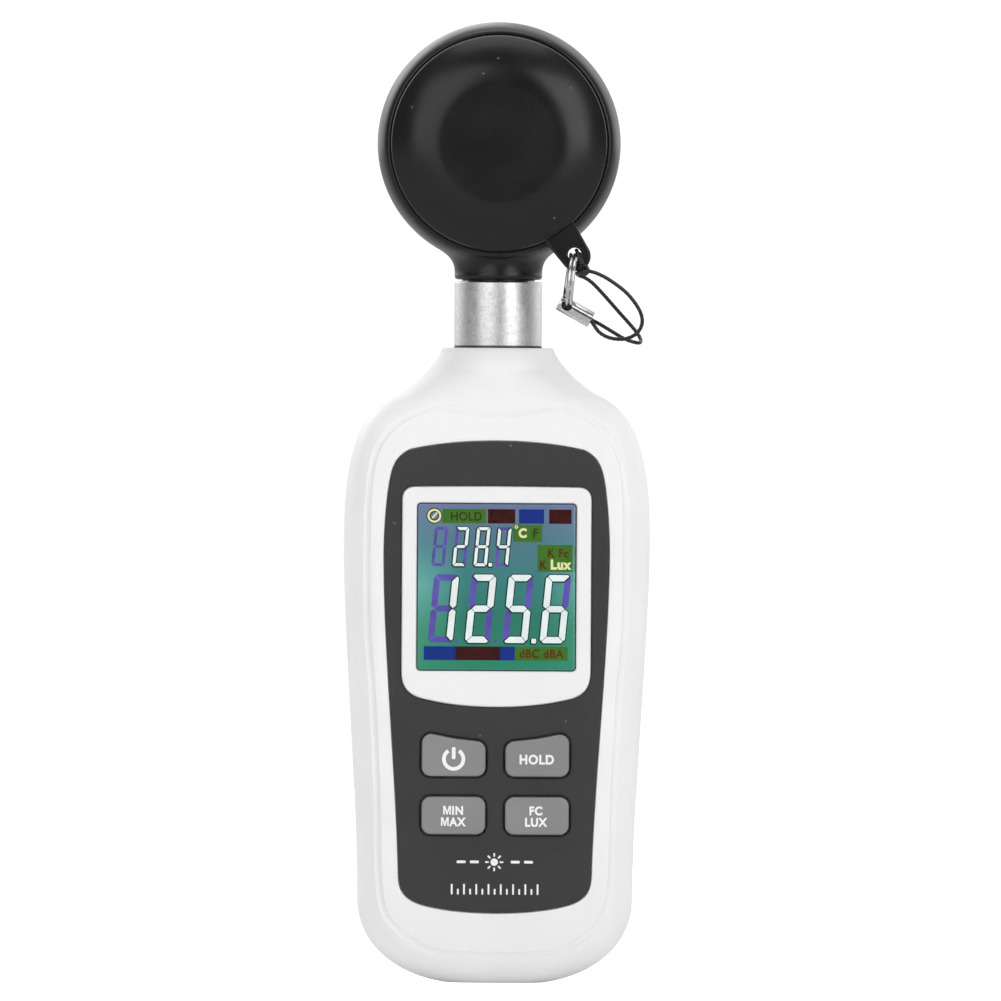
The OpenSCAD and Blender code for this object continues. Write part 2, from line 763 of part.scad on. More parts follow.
collar_r = 16.9;
collar_bore = 15.2;
collar_front = -10.4;
collar_edge = 0.2;
port_r = 12.2;
cap_gap = 0.2;
recess_r = cap_r + cap_gap;
brow_r = recess_r + 0.12;
brow_front = -8.45;
lip_steps = 9;
head_lip = [for (i = [1:lip_steps]) let (f = 90 * i / lip_steps)
  [mix(brow_r, head_r, cos(f)), split_y + (brow_front - split_y) * sin(f)]];

module head_front_ring() {
  color(black) {
    difference() {
      union() {
        turned(concat([[head_r - head_wall, split_y], [head_r, split_y]], head_lip,
          [[recess_r, brow_front + 0.12], [recess_r, head_front], [collar_r, head_front],
           [collar_r, collar_front + collar_edge], [collar_r - collar_edge, collar_front],
           [collar_bore, collar_front], [collar_bore, head_front], [port_r, head_front],
           [port_r, head_front + head_wall],
           [head_r - head_wall - 1, head_front + head_wall], [head_r - head_wall, head_front + 3.4]]));
        intersection() {
          neck_form();
          block(-20, 20, head_front, split_y, 0, 200);
        }
        for (p = head_screw_places) rod(p[0], head_z + p[1], 2.6, head_front + 1, split_y);
      }
      neck_bore_cut();
      for (p = head_screw_places) rod(p[0], head_z + p[1], 0.85, -6.6, 0);
    }
  }
}

module head_screws() {
  color(metal) for (p = head_screw_places) difference() {
    union() {
      rod(p[0], head_z + p[1], 1.7, head_seat, head_seat + 1.2);
      rod(p[0], head_z + p[1], 1, split_y, head_seat + 0.2);
      rod(p[0], head_z + p[1], 0.8, -5.8, split_y + 0.1);
    }
    block(p[0] - 1, p[0] + 1, head_seat + 0.6, head_seat + 3, head_z - 0.2, head_z + 0.2);
    block(p[0] - 0.2, p[0] + 0.2, head_seat + 0.6, head_seat + 3, head_z - 1, head_z + 1);
  }
}

dome_r = 12.4;
dome_peak = -12.2;
flange_front = head_front - 0.8;
dome_rise = flange_front - dome_peak;
dome_ball = (dome_r * dome_r + dome_rise * dome_rise) / (2 * dome_rise);
dome_inner = dome_ball - 1;

module diffuser_dome() {
  outer_top = [for (i = [0:8]) let (r = dome_r * i / 8)
    [r, dome_peak + dome_ball - sqrt(dome_ball * dome_ball - r * r)]];
  inner_top = [for (i = [8:-1:0]) let (r = 10.8 * i / 8)
    [r, dome_peak + dome_ball - sqrt(dome_inner * dome_inner - r * r)]];
  color(white) turned(concat(outer_top, [[collar_bore - 0.1, flange_front],
    [collar_bore - 0.1, head_front], [10.8, head_front]], inner_top));
}

module diffuser_ring() {
  color(black) turned([[dome_r + 0.4, flange_front], [collar_bore - 0.05, flange_front],
    [collar_bore - 0.05, flange_front - 0.8], [dome_r + 0.8, flange_front - 0.8]]);
}

module sensor_board() {
  color(board_green) rod(0, head_z, 9.6, -0.6, sensor_board_back);
}

module photodiode() {
  color(charcoal) block(-4, 4, -3, -0.6, head_z - 4, head_z + 4);
}

module colour_filter() {
  color(filter_green) rod(0, head_z, 4.6, -4.2, -3);
}

module thermistor() {
  color(black) {
    translate([0, -3, head_z - 7.5]) sphere(r = 0.9, $fn = 24);
    rod(-0.4, head_z - 7.5, 0.2, -2.5, -0.6);
    rod(0.4, head_z - 7.5, 0.2, -2.5, -0.6);
  }
}

cap_bore = 17.2;
cap_back = -8.15;
cap_inner = -12.65;
lug_angle = -55.5;
lug_end = 22.7;
lug_tip_r = 2.5;
lug_back = -8.55;
lug_front = -10.1;
lug_hole_r = 1.15;
lug_hole = 22.4;
lug_dir = [cos(lug_angle), sin(lug_angle)];

module sensor_cap() {
  flat_r = 9.5;
  dish = 0.25;
  edge = 0.4;
  steps = 12;
  fall = 3;
  shoulder_curve = [for (i = [steps:-1:1]) let (t = i / steps)
    [mix(flat_r, cap_r - edge, t), -cap_front + fall * t * t]];
  color(black) difference() {
    union() {
      turned(concat([[cap_bore, cap_back], [cap_r, cap_back],
        [cap_r, -cap_front + fall + 1.5 * edge], [cap_r - 0.3 * edge, -cap_front + fall + 0.5 * edge]],
        shoulder_curve,
        [[flat_r, -cap_front], [flat_r - 1.5, -cap_front + dish], [0, -cap_front + dish], [0, cap_inner],
         [12.5, cap_inner], [15.2, cap_inner + 1], [cap_bore, cap_inner + 2.5]]));
      lug_blank();
    }
    rod(lug_dir[0] * lug_hole, head_z + lug_dir[1] * lug_hole, lug_hole_r, -20, 0);
  }
}

module lug_blank() {
  root_half = 2.95;
  root = sqrt(pow(cap_r - 0.3, 2) - root_half * root_half);
  translate([0, 0, head_z]) rotate([0, -lug_angle, 0]) {
    rod(lug_end, 0, lug_tip_r, lug_front, lug_back);
    slab(lug_front, lug_back) polygon([[root, -root_half], [lug_end, -lug_tip_r], [lug_end, lug_tip_r],
      [root, root_half]]);
  }
}

// ---- tether -------------------------------------------------------------------------------------

tether_y = (lug_back + lug_front) / 2;
hole_x = lug_dir[0] * lug_hole;
hole_z = head_z + lug_dir[1] * lug_hole;
ring_lean = -6.5;
ring_top_x = hole_x - 0.3;
ring_center = [ring_top_x + ring_r * sin(ring_lean), tether_y, hole_z - ring_r * cos(ring_lean)];
ferrule_eye = [ring_top_x + 2 * ring_r * sin(ring_lean), tether_y, hole_z - 2 * ring_r * cos(ring_lean)];
ferrule_slope = 29;
ferrule_dir = [cos(ferrule_slope), 0, -sin(ferrule_slope)];
ferrule_long = 6.1;
ferrule_r = 1.4;
eye_from_end = 1.4;
ferrule_bore = 1;
ferrule_bore_depth = 2.2;
bore_bottom = ferrule_long - eye_from_end - ferrule_bore_depth;
cord_r = cord_diameter / 2;

// split ring: nearly two turns of round wire wound side by side
module tether_ring() {
  turns = 1.85;
  steps = 46;
  wire_r = 0.3;
  pitch = 0.65;
  start = -63;
  color(metal) translate(ring_center) rotate([0, -ring_lean, 0])
    tube([for (i = [0:steps]) let (a = 360 * turns * i / steps + start)
      [pitch * turns * (i / steps - 0.5), ring_r * cos(a), ring_r * sin(a)]], wire_r, 8, [1, 0, 0]);
}

module tether_ferrule() {
  eye_r = 0.8;
  color(metal) translate(ferrule_eye) rotate([0, 90 + ferrule_slope, 0]) difference() {
    translate([0, 0, -eye_from_end]) cylinder(r = ferrule_r, h = ferrule_long);
    translate([0, 0, bore_bottom]) cylinder(r = ferrule_bore, h = 4);
    rotate([90, 0, 0]) cylinder(r = eye_r, h = 6, center = true);
  }
}

// the cord leaves the ferrule, loops up to the knot and comes back to the ferrule
strand_gap = 0.45;
function in_ferrule(d, side) = ferrule_eye + ferrule_dir * (bore_bottom + d) + [0, side * strand_gap, 0];
cord_points = [
  in_ferrule(0, -1), in_ferrule(1.6, -1), [15.75, -9.95, 109.85], [16.9, -10.3, 108.35],
  [18.7, -10.55, 107.45], [21, -10.65, 107.3], [22.95, -10.65, 108.15], [23.95, -10.75, 109.9],
  [23.5, -10.95, 112.1], [21.4, -11.45, 114.9], [18.4, -12.15, 117.15], [16.3, -12.6, 118.2],
  [15, -12.75, 118.5], [13.75, -12.35, 118.4], [13.1, -11.2, 118.15], [13.45, -10.1, 117.8],
  [14.4, -9.45, 117.45], [15.7, -9.05, 116.55], [17.5, -8.3, 114.7], [20.1, -7.05, 111.8],
  [22.1, -6.25, 109.6], [23.25, -6.15, 108.2], [23.75, -6.85, 107.15], [23.55, -7.95, 106.7],
  [22.6, -8.95, 106.8], [21, -9.3, 107.35], [19.1, -9.15, 108.45], [17, -8.9, 109.7],
  in_ferrule(1.6, 1), in_ferrule(0, 1)
];
function smooth(p, i, t) =
  let (a = p[max(i - 1, 0)], b = p[i], c = p[i + 1], d = p[min(i + 2, len(p) - 1)])
  (b * 2 + (c - a) * t + (a * 2 - b * 5 + c * 4 - d) * t * t + (b * 3 - a - c * 3 + d) * t * t * t) / 2;
cord_path = [for (i = [0:len(cord_points) - 2]) each [cord_points[i], smooth(cord_points, i, 0.5)],
  cord_points[len(cord_points) - 1]];

module tether_cord() {
  color(black) tube(cord_path, cord_r, 8);
}

// a knot below the lug, tied on a hitch that goes through the lug's hole and back behind it
knot_place = [14.25, -11.15, 118.75];
hitch_points = [
  knot_place, [13.95, -10.75, 119.7], [13.6, -10.65, 120.6], [13.44, -10.35, 121.22],
  [13.42, -9.75, 121.42], [13.42, -8.95, 121.42], [13.43, -8.25, 121.25], [13.4, -8.05, 120.6],
  [13.3, -8.05, 119.6], [13.35, -8.1, 118.6], [13.65, -8.6, 117.9], [14.1, -9.7, 118],
  [14.25, -10.6, 118.45]
];
hitch_path = [for (i = [0:len(hitch_points) - 2]) each [hitch_points[i], smooth(hitch_points, i, 0.5)],
  hitch_points[len(hitch_points) - 1]];

module tether_knot() {
  knot_r = 1;
  color(black) {
    translate(knot_place) sphere(r = knot_r, $fn = 24);
    tube(hitch_path, cord_r, 8, [1, 0, 0]);
  }
}

front_housing();
rear_housing();
housing_screws();
fascia_panel();
display_bezel();
display_window();
lcd_glass();
lcd_frame();
lcd_backlight();
connector_strip();
main_board();
board_components();
key_domes();
key_mat();
power_key();
hold_key();
minmax_key();
unit_key();
battery_door();
battery_cells();
battery_springs();
battery_contacts();
battery_leads();
rating_label();
neck_sleeve();
swivel_bush();
swivel_clip();
sensor_leads();
head_rear_shell();
head_front_ring();
head_screws();
diffuser_dome();
diffuser_ring();
colour_filter();
photodiode();
sensor_board();
thermistor();
sensor_cap();
tether_ring();
tether_ferrule();
tether_cord();
tether_knot();
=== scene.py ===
import math

import bmesh
import bpy
from mathutils import Matrix, Vector, geometry


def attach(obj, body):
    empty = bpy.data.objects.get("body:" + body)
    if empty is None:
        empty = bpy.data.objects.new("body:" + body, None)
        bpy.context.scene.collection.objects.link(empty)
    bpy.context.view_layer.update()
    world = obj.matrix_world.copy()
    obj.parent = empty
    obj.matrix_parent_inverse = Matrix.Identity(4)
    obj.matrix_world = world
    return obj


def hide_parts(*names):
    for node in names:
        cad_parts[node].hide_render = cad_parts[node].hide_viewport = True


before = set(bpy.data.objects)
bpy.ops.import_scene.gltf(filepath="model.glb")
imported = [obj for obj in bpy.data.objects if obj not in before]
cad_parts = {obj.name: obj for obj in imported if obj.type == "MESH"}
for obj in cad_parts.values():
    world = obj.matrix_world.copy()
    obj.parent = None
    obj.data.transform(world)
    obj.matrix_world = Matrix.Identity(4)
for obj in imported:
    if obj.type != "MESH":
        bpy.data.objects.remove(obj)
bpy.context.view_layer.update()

# Looks of the handheld light meter. Lengths are in millimetres until a mesh is made, and then in
# metres; lamps and floor are in metres. +Z is up, the display faces -Y and +X is to the right.
MM = 0.001
WELD = 2e-7  # metres within which points of a mesh become one
scene = bpy.context.scene

# ---- shader nodes ----


def grey(level):
    return (level, level, level, 1)


class Nodes:
    """Short ways to build a shader node tree. A value may be a number, a colour or a socket."""

    def __init__(self, tree):
        self.tree = tree

    def fill(self, node, inputs):
        for key, value in inputs.items():
            if isinstance(value, bpy.types.NodeSocket):
                self.tree.links.new(value, node.inputs[key])
            else:
                node.inputs[key].default_value = value

    def add(self, kind, inputs, **settings):
        node = self.tree.nodes.new("ShaderNode" + kind)
        for key, value in settings.items():
            setattr(node, key, value)
        self.fill(node, inputs)
        return node

    def math(self, operation, first, second):
        return self.add("Math", {0: first, 1: second}, operation=operation).outputs[0]

    def spread(self, value, start, stop, low=0.0, high=1.0, **settings):
        """Maps value from start-stop to low-high and stops at both ends."""
        inputs = {"Value": value, "From Min": start, "From Max": stop, "To Min": low, "To Max": high}
        return self.add("MapRange", inputs, **settings).outputs[0]

    def ramp(self, value, stops):
        """Colours by place; the first stop is at 0 and the last at 1."""
        node = self.add("ValToRGB", {0: value})
        elements = node.color_ramp.elements
        elements[0].color, elements[1].color = stops[0][1], stops[-1][1]
        for place, color in stops[1:-1]:
            elements.new(place).color = color
        return node.outputs[0]


# ---- camera, light and floor ----

EYE_DISTANCE = 6000
EYE = (0.58, -EYE_DISTANCE, 80.3)
VIEW_WIDTH = 166.83
SENSOR = 36
CAMERA_ROLL = math.radians(0.35)
# Brightness of the surroundings by direction, from 0 in front (-Y) to 1 behind.
SURROUNDINGS = [(0, 0.05), (0.3, 0.25), (0.53, 0.2), (0.7, 0.95), (0.86, 1.4), (1, 0.8)]
SKY, SKY_RISE, SKY_DEPTH = 0.9, (0.1, 1), (-0.45, 0.1)
BACKDROP = 1.05
FLOOR_HALF, FLOOR_GLOW, FLOOR_SHADE, FLOOR_MIRRORED = 4, 0.2, 0.78, 0.4
AIM = (0, 0, 0.085)
# Place, width and height, and power of each lamp.
LAMPS = {
    "light_left": ((-0.85, -1.62, 0.74), (1.5, 1.5), 11.3),
    "light_right": ((1.1, -1.45, 0.7), (1.2, 1.4), 13.3),
    "light_top": ((0, -0.1, 1.4), (1.2, 1.0), 7),
    "light_back": ((-0.7, 1.45, 0.8), (1.6, 0.8), 3.5)}


def make_camera():
    """A long lens straight in front of the display, turned a little about its own axis."""
    data = bpy.data.cameras.new("camera")
    data.sensor_width = SENSOR
    data.lens = SENSOR * EYE_DISTANCE / VIEW_WIDTH
    data.clip_start = 0.05
    camera = bpy.data.objects.new("camera", data)
    upright = Matrix.Rotation(math.radians(90), 4, "X") @ Matrix.Rotation(CAMERA_ROLL, 4, "Z")
    camera.matrix_world = Matrix.Translation(Vector(EYE) * MM) @ upright
    scene.collection.objects.link(camera)
    scene.camera = camera


def make_lamps():
    """Rectangular studio lamps that face the object and don't show themselves."""
    for name, (place, size, power) in LAMPS.items():
        data = bpy.data.lights.new(name, "AREA")
        data.shape = "RECTANGLE"
        data.size, data.size_y = size
        data.energy = power
        light = bpy.data.objects.new(name, data)
        light.location = place
        light.rotation_euler = (Vector(AIM) - Vector(place)).to_track_quat("-Z", "Y").to_euler()
        light.visible_camera = False
        scene.collection.objects.link(light)


def make_world():
    """White all round for the camera; the light is bright behind and above, and dim in front."""
    world = bpy.data.worlds.new("studio")
    scene.world = world
    world.use_nodes = True
    world.node_tree.nodes.clear()
    nodes = Nodes(world.node_tree)
    direction = nodes.add("SeparateXYZ", {0: nodes.add("TexCoord", {}).outputs["Generated"]}).outputs
    stops = [(place, grey(level)) for place, level in SURROUNDINGS]
    round_about = nodes.ramp(nodes.spread(direction["Y"], -1, 1), stops)
    above = nodes.spread(direction["Z"], *SKY_RISE, 0, SKY, interpolation_type="SMOOTHSTEP")
    sky = nodes.math("MULTIPLY", above, nodes.spread(direction["Y"], *SKY_DEPTH))
    lighting = nodes.add("Background", {"Color": nodes.math("MAXIMUM", round_about, sky)})
    backdrop = nodes.add("Background", {"Color": grey(1), "Strength": BACKDROP})
    seen = nodes.add("LightPath", {}).outputs["Is Camera Ray"]
    choose = nodes.add("MixShader", {0: seen, 1: lighting.outputs[0], 2: backdrop.outputs[0]})
    nodes.add("OutputWorld", {0: choose.outputs[0]})


def make_floor():
    """A plain pale floor that the camera sees as white and that throws a little light up."""
    half = FLOOR_HALF
    corners = [(-half, -half, 0), (half, -half, 0), (half, half, 0), (-half, half, 0)]
    mesh = bpy.data.meshes.new("floor")
    mesh.from_pydata(corners, [], [(0, 1, 2, 3)])
    floor = bpy.data.objects.new("floor", mesh)
    scene.collection.objects.link(floor)
    pale = bpy.data.materials.new("floor_white")
    pale.use_nodes = True
    nodes = Nodes(pale.node_tree)
    path = nodes.add("LightPath", {}).outputs
    nodes.fill(pale.node_tree.nodes["Principled BSDF"], {
        "Roughness": 0.9, "Specular IOR Level": 0, "Emission Color": grey(1),
        "Emission Strength": nodes.spread(path["Is Camera Ray"], 0, 1, FLOOR_GLOW),
        "Base Color": nodes.spread(path["Is Glossy Ray"], 0, 1, FLOOR_SHADE, FLOOR_MIRRORED)})
    mesh.materials.append(pale)


scene.view_settings.view_transform = "Standard"
make_camera()
make_world()
make_floor()
make_lamps()

# ---- shapes ----


def mix(a, b, t):
    return a * (1 - t) + b * t


def ease(low, high, value):
    t = max(0.0, min(1.0, (value - low) / (high - low)))
    return t * t * (3 - 2 * t)


def cubic(points, t):
    a, b, c, d = (Vector(p) for p in points)
    return a * (1 - t) ** 3 + b * 3 * t * (1 - t) ** 2 + c * 3 * t * t * (1 - t) + d * t ** 3


def curve(segments, steps):
    """Points along joined Bezier segments."""
    line = [cubic(s, i / steps) for s in segments for i in range(steps)]
    return line + [Vector(segments[-1][-1])]


def mirrored(half):
    """A closed outline from its right half, which starts and ends on the middle line."""
    left = [Vector((-p.x, p.y)) for p in reversed(half)]
    return list(half) + [p for p in left if abs(p.x) > 1e-6]


def signed_area(loop):
    return sum(a.x * b.y - b.x * a.y for a, b in zip(loop, loop[1:] + loop[:1])) / 2


def turned_to(loop, left_hand):
    """The loop, reversed if needed so that it runs counter-clockwise when left_hand is true."""
    return list(loop) if (signed_area(loop) > 0) == left_hand else list(reversed(loop))


MITRE_LIMIT = 0.35


def shifted(loop, distance):
    """Moves a loop to its left by distance, with mitred corners."""
    moved = []
    for before, here, after in zip([loop[-1]] + loop[:-1], loop, loop[1:] + loop[:1]):
        u = (here - before).normalized()
        v = (after - here).normalized()
        normal = Vector((-u.y - v.y, u.x + v.x))
        scale = max(MITRE_LIMIT, normal.length / 2)
        moved.append(here + normal.normalized() * (distance / scale))
    return moved


def inset(loop, distance):
    """A loop, either way round, moved inwards by distance; it comes back counter-clockwise."""
    return shifted(turned_to([Vector(p) for p in loop], True), distance)


def rounded(corners, radius, steps=6):
    """A polygon's corners as arcs of that radius; radius may be a list with one for each corner."""
    radii = radius if isinstance(radius, list) else [radius] * len(corners)
    points = [Vector(c) for c in corners]
    loop = []
    for before, here, after, r in zip([points[-1]] + points[:-1], points, points[1:] + points[:1], radii):
        u = (before - here).normalized()
        v = (after - here).normalized()
        half = u.angle(v) / 2
        centre = here + (u + v).normalized() * (r / math.sin(half))
        start = here + u * (r / math.tan(half)) - centre
        end = here + v * (r / math.tan(half)) - centre
        for i in range(steps + 1):
            loop.append(centre + mix(start, end, i / steps).normalized() * r)
    return loop


def rectangle(x0, x1, z0, z1):
    return [(x0, z0), (x1, z0), (x1, z1), (x0, z1)]


def rounded_box(x0, x1, z0, z1, radius, steps=3):
    return rounded(rectangle(x0, x1, z0, z1), radius, steps)


def arc(x, z, radius, start=0.0, stop=math.tau, steps=48):
    """Points on an arc round x, z, with both ends; a whole circle leaves out the last."""
    count = steps if stop - start >= math.tau else steps + 1
    angles = [mix(start, stop, i / steps) for i in range(count)]
    return [Vector((x + radius * math.cos(a), z + radius * math.sin(a))) for a in angles]


def new_object(name, points, faces):
    """A closed mesh object from points in millimetres."""
    mesh = bpy.data.meshes.new(name)
    mesh.from_pydata([Vector(p) * MM for p in points], [], faces)
    work = bmesh.new()
    work.from_mesh(mesh)
    bmesh.ops.remove_doubles(work, verts=work.verts, dist=WELD)
    bmesh.ops.recalc_face_normals(work, faces=work.faces)
    work.to_mesh(mesh)
    work.free()
    obj = bpy.data.objects.new(name, mesh)
    scene.collection.objects.link(obj)
    return obj


def lathe(name, profile, steps=128, axis="z", centre=(0, 0, 0)):
    """A solid turned from a closed profile of (radius, height). Axis y turns it to face along Y."""
    points, rings = [], []
    for radius, height in profile:
        count = steps if radius > 1e-6 else 1
        rings.append((len(points), count))
        for i in range(count):
            angle = math.tau * i / steps
            across, up = radius * math.cos(angle), radius * math.sin(angle)
            local = (across, up, height) if axis == "z" else (across, height, up)
            points.append(Vector(local) + Vector(centre))
    faces = []
    for (a, count_a), (b, count_b) in zip(rings, rings[1:] + rings[:1]):
        for i in range(steps):
            j = (i + 1) % steps
            if count_a > 1 and count_b > 1:
                faces.append((a + i, a + j, b + j, b + i))
            elif count_a > 1:
                faces.append((a + i, a + j, b))
            elif count_b > 1:
                faces.append((a, b + j, b + i))
    return new_object(name, points, faces)


def plate(name, loops, rings):
    """A solid between flat outlines in the XZ plane: the first loop is its edge, the others holes.
    Each ring is (inset, y), and the first and last rings are closed by flat caps."""
    loops = [turned_to([Vector(p) for p in loop], k == 0) for k, loop in enumerate(loops)]
    count = sum(len(loop) for loop in loops)
    points, faces = [], []
    for distance, y in rings:
        for loop in loops:
            points += [(p.x, y, p.y) for p in shifted(loop, distance)]
    for r in range(len(rings) - 1):
        start = r * count
        for loop in loops:
            size = len(loop)
            for i in range(size):
                a, b = start + i, start + (i + 1) % size
                faces.append((a, b, b + count, a + count))
            start += size
    for r in (0, len(rings) - 1):
        flat = [[Vector((x, z, 0)) for x, _, z in points[r * count + s:r * count + s + len(loop)]]
                for loop, s in zip(loops, [sum(len(q) for q in loops[:k]) for k in range(len(loops))])]
        faces += [tuple(r * count + i for i in face) for face in geometry.tessellate_polygon(flat)]
    return new_object(name, points, faces)


def slab(name, loops, front, back):
    return plate(name, loops, [(0, front), (0, back)])


def quarter_turn(steps):
    return [math.pi / 2 * i / steps for i in range(steps + 1)]


def edge_rings(front, back, front_round, back_round=0.0, steps=5):
    """Rings for a plate with rounded front and back edges. A last narrow ring keeps each face flat."""
    rings = []
    for y, side, r in ((front, 1, front_round), (back, -1, back_round)):
        turn = [(r * (1 - math.sin(f)), y + side * r * (1 - math.cos(f))) for f in quarter_turn(steps)]
        edge = [(r + 0.08, y)] + turn if r else [(0, y)]
        rings += edge[::side]
    return rings


def flared_rings(front, back, flare, steps=5):
    """Rings for a cutter whose mouth at front opens out in an arc, to leave a rounded edge."""
    turn = [(-flare * (1 - math.cos(f)), front + flare * (1 - math.sin(f))) for f in quarter_turn(steps)]
    return [(-flare - 0.02, front - 0.6)] + turn[::-1] + [(0, back)]


def tube(name, path, radius, sides=12, closed=False, lobes=0, depth=0.0, pitch=1.0):
    """A mesh tube along a path. Lobes, turned once in each pitch, give it twisted strands."""
    path = [Vector(p) for p in path]
    count = len(path)
    points, faces = [], []
    side = None
    run = 0.0
    for i, here in enumerate(path):
        before = path[i - 1] if i or closed else here
        after = path[(i + 1) % count] if i + 1 < count or closed else here
        along = (after - before).normalized()
        if side is None:
            start = Vector((0, 1, 0)) if abs(along.y) < 0.9 else Vector((1, 0, 0))
            side = along.cross(start).normalized()
        side = (side - along * side.dot(along)).normalized()
        other = along.cross(side)
        run += (here - path[i - 1]).length if i else 0.0
        for k in range(sides):
            angle = math.tau * k / sides
            r = radius - depth * (0.5 + 0.5 * math.cos(lobes * (angle + math.tau * run / pitch)))
            points.append(here + (side * math.cos(angle) + other * math.sin(angle)) * r)
    for i in range(count if closed else count - 1):
        a, b = i * sides, ((i + 1) % count) * sides
        for k in range(sides):
            j = (k + 1) % sides
            faces.append((a + k, a + j, b + j, b + k))
    if not closed:
        faces.append(tuple(range(sides)))
        faces.append(tuple((count - 1) * sides + k for k in range(sides)))
    return new_object(name, points, faces)


def baked(obj):
    """Puts the object's modifiers into its mesh."""
    bpy.context.view_layer.update()
    shape = bpy.data.meshes.new_from_object(obj.evaluated_get(bpy.context.evaluated_depsgraph_get()))
    obj.modifiers.clear()
    obj.data = shape
    return obj


def combine(target, others, operation):
    """Cuts or joins other closed solids, which are used up."""
    for other in others:
        step = target.modifiers.new(operation, "BOOLEAN")
        step.operation = operation
        step.solver = "MANIFOLD"
        step.object = other
        baked(target)
        bpy.data.objects.remove(other)
    return target


def cut(target, *cutters):
    return combine(target, cutters, "DIFFERENCE")


def fuse(target, *others):
    return combine(target, others, "UNION")


def join(name, objects):
    """One object from several, with no change to their shapes."""
    points, faces = [], []
    for obj in objects:
        start = len(points)
        points += [obj.matrix_world @ v.co / MM for v in obj.data.vertices]
        faces += [tuple(start + i for i in p.vertices) for p in obj.data.polygons]
        bpy.data.objects.remove(obj)
    return new_object(name, points, faces)


def piece(obj, material, body, replaces=(), smooth=32):
    """Finishes a piece: smooth up to an angle in degrees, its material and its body."""
    obj.data.materials.clear()
    obj.data.materials.append(material)
    obj.data.shade_smooth()
    obj.data.set_sharp_from_angle(angle=math.radians(smooth))
    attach(obj, body)
    if replaces:
        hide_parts(*replaces)
    return obj


def rod(name, x, z, radius, front, back, steps=48):
    """A round bar along Y."""
    return lathe(name, [(0, front), (radius, front), (radius, back), (0, back)], steps, "y", (x, 0, z))


def block(name, x, y, z, edge=0.0):
    """A box between pairs of coordinates, with rounded front and back edges."""
    outline = rounded_box(*x, *z, edge) if edge else rectangle(*x, *z)
    return plate(name, [outline], edge_rings(*y, edge / 2, edge / 2, 2))


# ---- materials ----

WINDOW_HALF, WINDOW_LOW, WINDOW_HIGH = 13.3, 51.9, 79.9


def tone(value):
    """A colour from a grey level or from red, green and blue."""
    return (*value, 1) if isinstance(value, tuple) else grey(value)


def linear(r, g, b):
    """Scene colour of an 8-bit screen colour."""
    def channel(value):
        value /= 255
        return value / 12.92 if value <= 0.04045 else ((value + 0.055) / 1.055) ** 2.4
    return (channel(r), channel(g), channel(b), 1)


class Finish(Nodes):
    """A material around one Principled shader, with patterns in object coordinates."""

    def __init__(self, name, color, roughness, metallic=0.0, specular=0.5):
        self.material = bpy.data.materials.new(name)
        self.material.use_nodes = True
        super().__init__(self.material.node_tree)
        self.shader({"Base Color": color, "Roughness": roughness, "Metallic": metallic,
                     "Specular IOR Level": specular})
        self.place = self.add("TexCoord", {}).outputs["Object"]
        self.relief = None

    def shader(self, inputs):
        self.fill(self.tree.nodes["Principled BSDF"], inputs)

    def noise(self, scale, detail=3.0, stretch=(1, 1, 1)):
        """Cloudy pattern; scale is in cycles per metre."""
        place = self.add("Mapping", {"Vector": self.place, "Scale": stretch}).outputs[0]
        return self.add("TexNoise", {"Vector": place, "Scale": scale, "Detail": detail}).outputs["Fac"]

    def cloud(self, pattern, low, high):
        """Spreads a pattern's middle values over low to high."""
        return self.spread(pattern, 0.3, 0.7, low, high)

    def blend(self, factor, first, second):
        """Colour from first to second as factor goes from 0 to 1."""
        return self.add("Mix", {0: factor, 6: first, 7: second}, data_type="RGBA").outputs[2]

    def bump(self, height, depth):
        """Relief of that depth in millimetres; several add up."""
        inputs = {"Height": height, "Distance": depth * MM}
        if self.relief:
            inputs["Normal"] = self.relief
        self.relief = self.add("Bump", inputs).outputs[0]
        self.shader({"Normal": self.relief})

    def specks(self, scale, size, share):
        """Sparse dots, in that share of the cells: 1 inside a dot and 0 outside."""
        cells = self.add("TexVoronoi", {"Vector": self.place, "Scale": scale}).outputs
        chance = self.add("SeparateColor", {0: cells["Color"]}).outputs[0]
        inside = self.math("LESS_THAN", cells["Distance"], size)
        return self.math("MULTIPLY", inside, self.math("GREATER_THAN", chance, 1 - share))


def moulded(name, base, shade, roughness, texture=0.006, grain=2600, specular=0.5, dust=None):
    """Moulded plastic: slightly uneven colour and gloss, and a fine spark-eroded grain."""
    finish = Finish(name, tone(base), roughness[0], specular=specular)
    uneven = finish.blend(finish.cloud(finish.noise(90), 0, 1), tone(base), tone(shade))
    if dust:
        uneven = finish.blend(finish.specks(420, 0.09, 0.2), uneven, tone(dust))
    finish.shader({"Base Color": uneven, "Roughness": finish.cloud(finish.noise(160), *roughness)})
    finish.bump(finish.noise(grain, 2), texture)
    finish.bump(finish.noise(240, 2), texture * 0.8)
    return finish.material


def metal(name, base, shade, roughness, grain, depth, stretch=(1, 1, 1)):
    """Bare or plated metal with fine marks."""
    finish = Finish(name, tone(base), roughness[0], metallic=1.0)
    marks = finish.noise(grain, 4, stretch)
    finish.shader({"Base Color": finish.blend(finish.cloud(marks, 0, 1), tone(base), tone(shade)),
                   "Roughness": finish.cloud(finish.noise(grain / 3), *roughness)})
    finish.bump(marks, depth)
    return finish.material


def glowing(name, color, strength=1.0, spread=0.12):
    """A printed or lit part of the display, whose light varies a little across it."""
    finish = Finish(name, grey(0.02), 0.4, specular=0)
    dim = tuple(c * (1 - spread) for c in color[:3]) + (1,)
    lit = finish.blend(finish.cloud(finish.noise(420, 2), 0, 1), color, dim)
    finish.shader({"Emission Color": lit, "Emission Strength": strength})
    return finish.material


